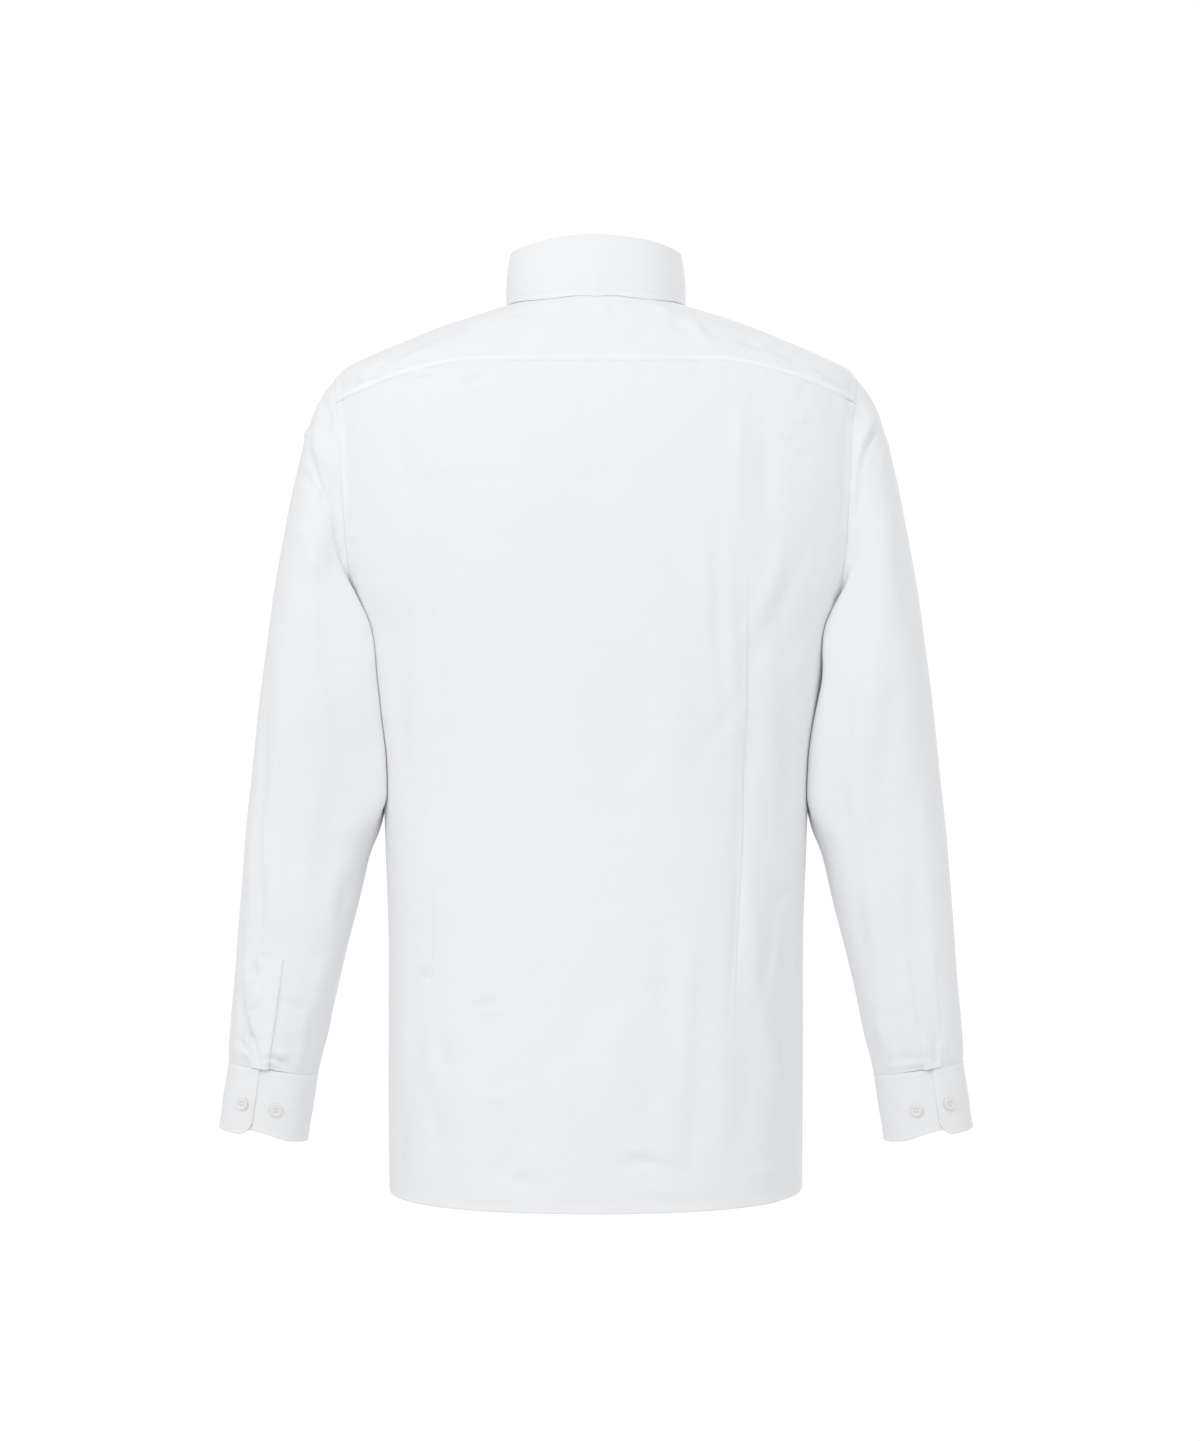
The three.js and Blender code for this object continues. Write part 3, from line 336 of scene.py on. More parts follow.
@dataclass(frozen=True)
class Pattern:
    """Places of the seams and edges that several pieces share."""

    hem_side_z: float = -773
    hem_back_drop: float = 4.5
    front_overlap: float = 16
    yoke_back_z: float = -64
    yoke_back_drop: float = 30
    yoke_flat_half: float = 110
    yoke_corner_x: float = 219
    yoke_corner_z: float = -94
    yoke_front_neck_y: float = -35
    yoke_front_arm_y: float = -23
    dart_column: float = 0.479
    neck_back_corner: float = 75

    @property
    def neck_front_corner(self) -> float:
        """The neck angle of the yoke's front seam."""
        share = (-self.yoke_front_neck_y / NECK.front) ** (NECK.power / 2)
        return 180 - math.degrees(math.acos(share))

    @property
    def neck_overlap_angle(self) -> float:
        """The neck angle of the left front's closing edge, past centre front."""
        share = (self.front_overlap / NECK.half_width) ** (NECK.power / 2)
        return 180 + math.degrees(math.asin(share))

    def dart_x(self, z: Array, column: Array) -> Array:
        """How far out each back dart lies: nearly upright, nearer the middle on the right."""
        left = 133.5 - 3 * smooth_step(-560, -420, z) + 3 * smooth_step(-340, -230, z)
        left = left + 6.5 * (1 - smooth_step(-620, -530, z))
        right = 124 + 3 * smooth_step(-440, -340, z) - 8 * (1 - smooth_step(-640, -440, z))
        return np.where(column >= 0, left, right)

    def back_angle(self, column: Array, z: Array, edge_angle: Array) -> Array:
        """The form's angle of a column of the back, from -1 at the right to 1 at the left."""
        half = FORM.power(z) / 2
        dart = degrees_of(np.arccos((self.dart_x(z, column) / FORM.width(z)) ** half))
        share = np.abs(column)
        inner = mix(90, dart, share / self.dart_column)
        outer = mix(dart, edge_angle, (share - self.dart_column) / (1 - self.dart_column))
        angle = np.where(share <= self.dart_column, inner, outer)
        return np.where(column >= 0, angle, 180 - angle)

    def yoke_back_seam(self, column: Array) -> Array:
        """The seam between yoke and back: level in the middle and dropping to the armholes."""
        column = np.asarray(column, float)
        corner = ARMHOLE.point(ARMHOLE.back_corner(self.yoke_corner_z))
        corner_angle = FORM.angle(corner)
        z = np.full(column.shape, self.yoke_back_z)
        for _ in range(8):
            points = FORM.point(self.back_angle(column, z, corner_angle), z)
            span = self.yoke_corner_x - self.yoke_flat_half
            share = np.clip((np.abs(points[..., 0]) - self.yoke_flat_half) / span, 0, None)
            z = self.yoke_back_z - self.yoke_back_drop * share ** 1.5
        points = FORM.point(self.back_angle(column, z, corner_angle), z)
        at_edge = np.isclose(np.abs(column), 1)[..., None]
        side = np.sign(column)[..., None] * np.array([1, 0, 0]) + np.array([0, 1, 1])
        return np.where(at_edge, corner * side, points)


PATTERN = Pattern()


# Creases


@dataclass(frozen=True)
class Crease:
    """One soft fold of the cloth, placed in the view from behind or before.

    Attributes:
        x: Its middle, in mm.
        z: Its middle's height, in mm.
        turn: Degrees from upright; above 0 the top lies further towards +X.
        length: Half of its length, in mm.
        width: Half of its width, in mm.
        height: How far the cloth rises there, in mm; below 0 it is a trough.
        bend: How far its ends are carried sideways, in mm.
        lean: From -1 to 1, how much steeper one flank is than the other.
    """

    x: float
    z: float
    turn: float
    length: float
    width: float
    height: float
    bend: float = 0
    lean: float = 0

    def relief(self, x: Array, z: Array) -> Array:
        """height * exp(-along^2) * exp(-across^2), with a slow swell along it and a bent axis."""
        sine, cosine = math.sin(math.radians(self.turn)), math.cos(math.radians(self.turn))
        along = ((x - self.x) * sine + (z - self.z) * cosine) / self.length
        across = (x - self.x) * cosine - (z - self.z) * sine
        across = across - self.bend * along ** 2
        widths = self.width * (1 + 0.6 * self.lean * np.tanh(across / self.width))
        swell = 1 + 0.22 * np.sin(4.1 * along + self.x * 0.37 + self.z * 0.13)
        return 1.6 * self.height * swell * np.exp(-along ** 2 - (across / widths) ** 2)


def crease_relief(creases: Sequence[Crease], x: Array, z: Array) -> Array:
    """The sum of the creases at each place."""
    total = np.zeros(np.shape(x))
    for crease in creases:
        total += crease.relief(x, z)
    return total


# Grids of cloth


class Edge(Enum):
    """The four edges of a grid."""

    FIRST_ROW = "first row"
    LAST_ROW = "last row"
    FIRST_COLUMN = "first column"
    LAST_COLUMN = "last column"

    def turned(self, values: Array) -> Array:
        """The grid seen so that this edge is its first row."""
        if self in (Edge.FIRST_COLUMN, Edge.LAST_COLUMN):
            values = values.swapaxes(0, 1)
        return values[::-1] if self in (Edge.LAST_ROW, Edge.LAST_COLUMN) else values

    def turned_back(self, values: Array) -> Array:
        """Undoes turned."""
        if self in (Edge.LAST_ROW, Edge.LAST_COLUMN):
            values = values[::-1]
        return values.swapaxes(0, 1) if self in (Edge.FIRST_COLUMN, Edge.LAST_COLUMN) else values


@dataclass
class ClothGrid:
    """One piece of cloth as a grid of points on its outer face.

    Attributes:
        points: rows x columns x 3, in mm.
        inward: Unit vectors through the cloth, towards its inner face.
        wraps: True for a tube, whose last column meets its first.
        plies: How many layers lie there, from 0 for one to 1 for three or more.
        flat: Places in mm that carry the weave, where the grid's own lines slant too much.
    """

    points: Array
    inward: Array
    wraps: bool = False
    plies: Array = field(default=None)
    flat: Array | None = None

    def __post_init__(self) -> None:
        """Starts with a single layer everywhere."""
        if self.plies is None:
            self.plies = np.zeros(self.points.shape[:2])

    def distance(self, edge: Edge) -> Array:
        """Distance of each point from an edge, measured along the cloth."""
        points = edge.turned(self.points)
        steps = np.linalg.norm(np.diff(points, axis=0), axis=-1)
        return edge.turned_back(np.concatenate([np.zeros((1, steps.shape[1])), np.cumsum(steps, axis=0)]))

    def raised(self, height: Array) -> None:
        """Moves the outer face out by height, in mm."""
        self.points = self.points - self.inward * np.asarray(height)[..., None]

    def normals(self) -> Array:
        """Outward normals of the grid as it stands."""
        across = np.gradient(self.points, axis=1)
        if self.wraps:
            across = np.roll(self.points, -1, axis=1) - np.roll(self.points, 1, axis=1)
        normals = unit(np.cross(across, np.gradient(self.points, axis=0)))
        flip = np.sign((normals * -self.inward).sum(-1, keepdims=True))
        return normals * np.where(flip == 0, 1, flip)

    def roll_edges(self, edges: Sequence[Edge], radius: float, drop: float) -> None:
        """Rounds the outer face down towards the named edges, by a quarter circle in section."""
        for edge in edges:
            share = np.clip(1 - self.distance(edge) / radius, 0, 1)
            self.raised(-drop * (1 - np.sqrt(np.maximum(0, 1 - share ** 2))))

    def band(
        self, distance: Array, width: float, height: float, plies: Array = 1, along: Array | None = None
    ) -> None:
        """Raises a seam or hem band along where distance is 0.

        Args:
            distance: How far each point is from the seam, in mm.
            width: The band's width.
            height: How far it stands proud.
            plies: How many layers it adds, from 0 to 1.
            along: How far along the seam each point is; it makes the band's far edge uneven.
        """
        uneven = 0 if along is None else ripple(along, 33, 71)
        inside = 1 - smooth_step(width - 1.6, width + 1.2, distance + 0.7 * uneven)
        self.raised(height * inside)
        self.plies = np.maximum(self.plies, plies * inside * (0.85 + 0.15 * uneven))

    def line(self, edge: Edge, distance: float) -> tuple[Array, Array]:
        """The line at a distance from an edge, as points and outward normals."""
        away = edge.turned(self.distance(edge))
        points, normals = edge.turned(self.points), edge.turned(self.normals())
        k = np.clip((away < distance).sum(axis=0) - 1, 0, len(away) - 2)
        columns = np.arange(away.shape[1])
        step = away[k + 1, columns] - away[k, columns]
        share = ((distance - away[k, columns]) / np.maximum(step, 1e-6))[:, None]
        path = mix(points[k, columns], points[k + 1, columns], share)
        facing = unit(mix(normals[k, columns], normals[k + 1, columns], share))
        if self.wraps and edge in (Edge.FIRST_ROW, Edge.LAST_ROW):
            path, facing = np.vstack([path, path[:1]]), np.vstack([facing, facing[:1]])
        return path, facing

    def mirror(self) -> "ClothGrid":
        """The same piece for the other side of the body."""
        flip = np.array([-1, 1, 1])
        return ClothGrid(self.points * flip, self.inward * flip, self.wraps, self.plies.copy(), self.flat)

    def flat_size(self) -> tuple[float, float, float]:
        """Greatest width and length along the cloth, in metres, and its area in square metres."""
        points = np.concatenate([self.points, self.points[:, :1]], axis=1) if self.wraps else self.points
        width = np.linalg.norm(np.diff(points, axis=1), axis=-1).sum(axis=1).max()
        length = np.linalg.norm(np.diff(points, axis=0), axis=-1).sum(axis=0).max()
        first = np.cross(points[1:, 1:] - points[:-1, :-1], points[1:, :-1] - points[:-1, 1:])
        area = np.linalg.norm(first, axis=-1).sum() / 2
        return width * MM, length * MM, area * MM * MM

    def build(self, name: str, wall: float) -> bpy.types.Object:
        """Makes the closed wall between the outer face and the same face moved in by wall.

        Args:
            name: The new object's name.
            wall: The cloth's thickness in mm.

        Returns:
            The mesh object, with its flat places in mm as its UV map and the plies attribute.
        """
        rows, count = self.points.shape[:2]
        spans = count if self.wraps else count - 1
        across = np.concatenate([self.points, self.points[:, :1]], axis=1)
        u = np.concatenate([
            np.zeros((rows, 1)), np.cumsum(np.linalg.norm(np.diff(across, axis=1), axis=-1), axis=1)
        ], axis=1)[:, :spans + 1]
        u = u - u[:, u.shape[1] // 2, None]
        down = self.distance(Edge.FIRST_ROW)
        v = np.concatenate([down, down[:, :1]], axis=1)[:, :spans + 1]
        r, c = np.meshgrid(np.arange(rows - 1), np.arange(spans), indexing="ij")
        r, c = r.ravel(), c.ravel()
        end_c = np.arange(spans)
        end_r = np.arange(rows - 1)
        last = rows - 1
        quads: list[Array] = []

        layer = np.zeros(len(r), int)
        quads.append(np.stack([
            np.stack([r, c, layer], -1), np.stack([r, c + 1, layer], -1),
            np.stack([r + 1, c + 1, layer], -1), np.stack([r + 1, c, layer], -1)], axis=1))
        quads.append(np.stack([
            np.stack([r, c, layer + 1], -1), np.stack([r + 1, c, layer + 1], -1),
            np.stack([r + 1, c + 1, layer + 1], -1), np.stack([r, c + 1, layer + 1], -1)], axis=1))
        zero, one = np.zeros(spans, int), np.ones(spans, int)
        for row, order in ((0, 1), (last, -1)):
            at = np.full(spans, row)
            rim = np.stack([
                np.stack([at, end_c + 1, zero], -1), np.stack([at, end_c, zero], -1),
                np.stack([at, end_c, one], -1), np.stack([at, end_c + 1, one], -1)], axis=1)
            quads.append(rim[:, ::order])
        if not self.wraps:
            zero, one = np.zeros(rows - 1, int), np.ones(rows - 1, int)
            for column, order in ((0, 1), (spans, -1)):
                at = np.full(rows - 1, column)
                rim = np.stack([
                    np.stack([end_r, at, zero], -1), np.stack([end_r + 1, at, zero], -1),
                    np.stack([end_r + 1, at, one], -1), np.stack([end_r, at, one], -1)], axis=1)
                quads.append(rim[:, ::order])
        corners = np.concatenate(quads)
        faces = corners[..., 2] * rows * count + corners[..., 0] * count + corners[..., 1] % count
        outer = self.points.reshape(-1, 3)
        inner = (self.points + self.inward * wall).reshape(-1, 3)
        vertices = np.concatenate([outer, inner])
        flat = np.stack([u, v], axis=-1) if self.flat is None else self.flat
        uv = flat[corners[..., 0], corners[..., 1]]
        a, b, d = vertices[faces[:, 0]], vertices[faces[:, 1]], vertices[faces[:, 2]]
        if (a * np.cross(b, d)).sum() < 0:
            faces, uv = faces[:, ::-1], uv[:, ::-1]
        plies = np.concatenate([self.plies.ravel(), self.plies.ravel()])
        return mesh_object(name, vertices, faces, uv, plies)


def mesh_object(
    name: str, vertices: Array, faces: Array, uv: Array | None = None, plies: Array | None = None
) -> bpy.types.Object:
    """Puts arrays into a new smooth-shaded mesh object.

    Args:
        name: The object's name.
        vertices: n x 3, in mm.
        faces: m x 3 or m x 4 vertex numbers.
        uv: m x corners x 2 flat places in mm, or None.
        plies: One number a vertex, or None.

    Returns:
        The object, linked to the scene.
    """
    mesh = bpy.data.meshes.new(name)
    mesh.from_pydata((vertices * MM).tolist(), [], faces.tolist())
    mesh.polygons.foreach_set("use_smooth", np.ones(len(faces), bool))
    if uv is not None:
        layer = mesh.uv_layers.new(name="flat")
        layer.data.foreach_set("uv", np.ascontiguousarray(uv, dtype=np.float32).ravel())
    if plies is not None:
        attribute = mesh.attributes.new("plies", "FLOAT", "POINT")
        attribute.data.foreach_set("value", np.ascontiguousarray(plies, dtype=np.float32))
    mesh.update()
    made = bpy.data.objects.new(name, mesh)
    bpy.context.scene.collection.objects.link(made)
    return made


# Sewing


@dataclass(frozen=True)
class Stitches:
    """A row of lockstitches: short rounded lengths of thread along a path."""

    length: float = 1.9
    gap: float = 0.75
    half_width: float = 0.2
    half_height: float = 0.14

    def run(self, path: Array, normals: Array, trim: float = 0) -> tuple[Array, Array]:
        """Six-sided lengths of thread whose ends taper to a point, one after another.

        Args:
            path: Points of the path in mm.
            normals: The cloth's outward normals there.
            trim: How much of the path to leave free at each end, in mm.

        Returns:
            Vertices and triangular faces.
        """
        along = np.concatenate([[0], np.cumsum(np.linalg.norm(np.diff(path, axis=0), axis=1))])
        pitch = self.length + self.gap
        count = max(1, int((along[-1] - 2 * trim) / pitch))
        centres = trim + (np.arange(count) + 0.5) * (along[-1] - 2 * trim) / count

        def on_path(values: Array, places: Array) -> Array:
            """Values along the path at those distances."""
            return np.stack([np.interp(places, along, values[:, k]) for k in range(3)], axis=-1)

        middle = on_path(path, centres)
        ahead, behind = on_path(path, centres + 0.6), on_path(path, centres - 0.6)
        tangent, up = unit(ahead - behind), unit(on_path(normals, centres))
        side = unit(np.cross(tangent, up))
        turns = np.radians(np.arange(6) * 60)
        ring = np.stack([np.zeros(6), np.cos(turns) * self.half_width, np.sin(turns) * self.half_height], -1)
        ends = np.array([[-self.length / 2, 0, -0.1], [self.length / 2, 0, -0.1]])
        shape = np.concatenate([ring - [self.length * 0.28, 0, 0], ring + [self.length * 0.28, 0, 0], ends])
        place = shape[None]
        vertices = (
            middle[:, None] + place[..., :1] * tangent[:, None]
            + place[..., 1:2] * side[:, None] + (place[..., 2:] + 0.05) * up[:, None]
        )
        k = np.arange(6)
        n = (k + 1) % 6
        faces = np.concatenate([
            np.stack([k, k + 6, n + 6], -1), np.stack([k, n + 6, n], -1),
            np.stack([np.full(6, 12), k, n], -1), np.stack([np.full(6, 13), n + 6, k + 6], -1),
        ])
        all_faces = (faces[None] + 14 * np.arange(count)[:, None, None]).reshape(-1, 3)
        return vertices.reshape(-1, 3), all_faces

    def joined(self, name: str, runs: Sequence[tuple[Array, Array]]) -> bpy.types.Object:
        """All the runs of (path, normals) as one mesh object."""
        vertices, faces, start = [], [], 0
        for path, normals in runs:
            points, triangles = self.run(path, normals)
            vertices.append(points)
            faces.append(triangles + start)
            start += len(points)
        made = mesh_object(name, np.concatenate(vertices), np.concatenate(faces))
        return made


# Finishes


def linear_colour(code: str) -> tuple[float, float, float, float]:
    """A hex sRGB colour as the linear RGBA that shaders take."""
    values = [int(code[k:k + 2], 16) / 255 for k in (1, 3, 5)]
    red, green, blue = (v / 12.92 if v <= 0.04045 else ((v + 0.055) / 1.055) ** 2.4 for v in values)
    return red, green, blue, 1.0


class Shader:
    """A material's node tree and the few calls that fill it."""

    def __init__(self, name: str) -> None:
        """Makes an empty node material."""
        self.material = bpy.data.materials.new(name)
        self.material.use_nodes = True
        self.tree = self.material.node_tree
        self.tree.nodes.clear()

    def add(self, kind: str, inputs: dict | None = None, **settings: object) -> bpy.types.Node:
        """Adds one node.

        Args:
            kind: The node's type.
            inputs: Values or output sockets by input name or number.
            **settings: The node's own properties.

        Returns:
            The node.
        """
        node = self.tree.nodes.new(kind)
        for key, value in settings.items():
            setattr(node, key, value)
        for key, value in (inputs or {}).items():
            if isinstance(value, bpy.types.NodeSocket):
                self.tree.links.new(value, node.inputs[key])
            else:
                node.inputs[key].default_value = value
        return node

    def finish(self, shader: bpy.types.Node) -> bpy.types.Material:
        """Joins the shader to the output and returns the material."""
        self.add("ShaderNodeOutputMaterial", {"Surface": shader.outputs[0]})
        return self.material


@dataclass(frozen=True)
class WovenCotton:
    """White woven cotton; its flat places in mm carry the weave, and its plies lighten it."""

    name: str
    one_layer: str
    many_layers: str
    thread_pitch: float = 0.32
    weave_height: float = 0.018
    mottle_height: float = 1.1
    roughness: float = 0.82
    sheen: float = 0.12

    def material(self) -> bpy.types.Material:
        """Fine crossed threads, faint slubs along both ways and soft unevenness from pressing."""
        shader = Shader(self.name)
        flat = shader.add("ShaderNodeUVMap", uv_map="flat").outputs["UV"]
        plies = shader.add("ShaderNodeAttribute", attribute_name="plies").outputs["Fac"]
        base = shader.add("ShaderNodeMixRGB", {
            "Fac": plies, "Color1": linear_colour(self.one_layer),
            "Color2": linear_colour(self.many_layers),
        }).outputs[0]
        period = 2 * math.pi / 20
        warp = shader.add("ShaderNodeTexWave", {
            "Vector": flat, "Scale": period / self.thread_pitch,
        }, bands_direction="X").outputs["Fac"]
        weft = shader.add("ShaderNodeTexWave", {
            "Vector": flat, "Scale": period / (self.thread_pitch * 1.15),
        }, bands_direction="Y").outputs["Fac"]
        weave = shader.add("ShaderNodeMath", {0: warp, 1: weft}, operation="MULTIPLY").outputs[0]
        slub_places = [
            shader.add("ShaderNodeMapping", {"Vector": flat, "Scale": scale}).outputs[0]
            for scale in ((0.5, 0.02, 1), (0.02, 0.45, 1))
        ]
        slubs = [
            shader.add("ShaderNodeTexNoise", {"Vector": place, "Scale": 1.0, "Detail": 3.0}).outputs[0]
            for place in slub_places
        ]
        both = shader.add("ShaderNodeMath", {0: slubs[0], 1: slubs[1]}, operation="ADD").outputs[0]
        tone = shader.add("ShaderNodeMapRange", {
            "Value": both, "From Min": 0.7, "From Max": 1.3, "To Min": 0.993, "To Max": 1.0,
        }).outputs[0]
        shade = shader.add("ShaderNodeMixRGB", {
            "Fac": 1.0, "Color1": base, "Color2": tone,
        }, blend_type="MULTIPLY").outputs[0]
        mottle = shader.add("ShaderNodeTexNoise", {
            "Vector": flat, "Scale": 1 / 26, "Detail": 2.0, "Roughness": 0.45, "Distortion": 0.15,
        }).outputs[0]
        pressed = shader.add("ShaderNodeBump", {
            "Height": mottle, "Strength": 1.0, "Distance": self.mottle_height * MM,
        }).outputs[0]
        slubbed = shader.add("ShaderNodeBump", {
            "Height": slubs[0], "Strength": 1.0, "Distance": 0.008 * MM, "Normal": pressed,
        }).outputs[0]
        woven = shader.add("ShaderNodeBump", {
            "Height": weave, "Strength": 1.0, "Distance": self.weave_height * MM, "Normal": slubbed,
        }).outputs[0]
        return shader.finish(shader.add("ShaderNodeBsdfPrincipled", {
            "Base Color": shade, "Roughness": self.roughness, "Normal": woven,
            "IOR": 1.45, "Specular IOR Level": 0.2, "Sheen Weight": self.sheen,
            "Sheen Roughness": 0.5,
        }))


@dataclass(frozen=True)
class CottonThread:
    """White sewing thread, a little glossier than the cloth, with its twist as a fine bump."""

    name: str = "white_cotton_sewing_thread"
    colour: str = "#F0F1F3"
    twist_pitch: float = 0.5

    def material(self) -> bpy.types.Material:
        """Slanting bands at the twist's pitch."""
        shader = Shader(self.name)
        place = shader.add("ShaderNodeTexCoord").outputs["Object"]
        twist = shader.add("ShaderNodeTexWave", {
            "Vector": place, "Scale": 2 * math.pi / 20 / (self.twist_pitch * MM),
        }, bands_direction="DIAGONAL").outputs["Fac"]
        bump = shader.add("ShaderNodeBump", {
            "Height": twist, "Strength": 0.4, "Distance": 0.02 * MM,
        }).outputs[0]
        return shader.finish(shader.add("ShaderNodeBsdfPrincipled", {
            "Base Color": linear_colour(self.colour), "Roughness": 0.6, "IOR": 1.5, "Normal": bump,
        }))


@dataclass(frozen=True)
class PearlResin:
    """Pale pearly button resin: cloudy grey-white with a clear polished skin."""

    name: str = "pearly_button_resin"
    light: str = "#F4F3F1"
    dark: str = "#DFDFDE"
    cloud_size: float = 3.5

    def material(self) -> bpy.types.Material:
        """Soft clouds at the cloud size turn the light resin darker in places."""
        shader = Shader(self.name)
        place = shader.add("ShaderNodeTexCoord").outputs["Object"]
        clouds = shader.add("ShaderNodeTexNoise", {
            "Vector": place, "Scale": 1 / (self.cloud_size * MM), "Detail": 3.0, "Distortion": 1.2,
        }).outputs[0]
        colour = shader.add("ShaderNodeMixRGB", {
            "Fac": clouds, "Color1": linear_colour(self.dark), "Color2": linear_colour(self.light),
        }).outputs[0]
        return shader.finish(shader.add("ShaderNodeBsdfPrincipled", {
            "Base Color": colour, "Roughness": 0.22, "IOR": 1.53, "Coat Weight": 0.5,
            "Coat Roughness": 0.08, "Subsurface Weight": 0.1, "Subsurface Scale": 0.002,
        }))


@dataclass
class Finishes:
    """The materials, each made once."""

    poplin: bpy.types.Material
    interlined: bpy.types.Material
    thread: bpy.types.Material
    pearl: bpy.types.Material

    @classmethod
    def made(cls) -> "Finishes":
        """Makes them all."""
        return cls(
            WovenCotton("white_cotton_poplin", "#EFF0F2", "#F6F7F8").material(),
            WovenCotton("interlined_white_cotton", "#EEEFF1", "#F1F2F3", mottle_height=0.2).material(),
            CottonThread().material(),
            PearlResin().material(),
        )


class Slot(Enum):
    """Names of the material slots."""

    POPLIN = "cotton_poplin"
    INTERLINED = "interlined_cotton"
    PEARL = "pearl_button"


def dressed(piece: bpy.types.Object, material: bpy.types.Material, slot: Slot, *nodes: str) -> bpy.types.Object:
    """Gives a piece its material and body, and hides the frame's parts that it stands for."""
    piece.data.materials.append(material)
    if nodes:
        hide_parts(*nodes)
    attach(piece, "root")
    return piece


def declare_sheet(piece: bpy.types.Object, grid: ClothGrid) -> None:
    """Logs a piece's flat cut, measured along the cloth."""
    width, length, area = grid.flat_size()
    area = min(area, width * length)
    log.info("%s: cut %.3f x %.3f m, %.4f m2", piece.name, width, length, area)


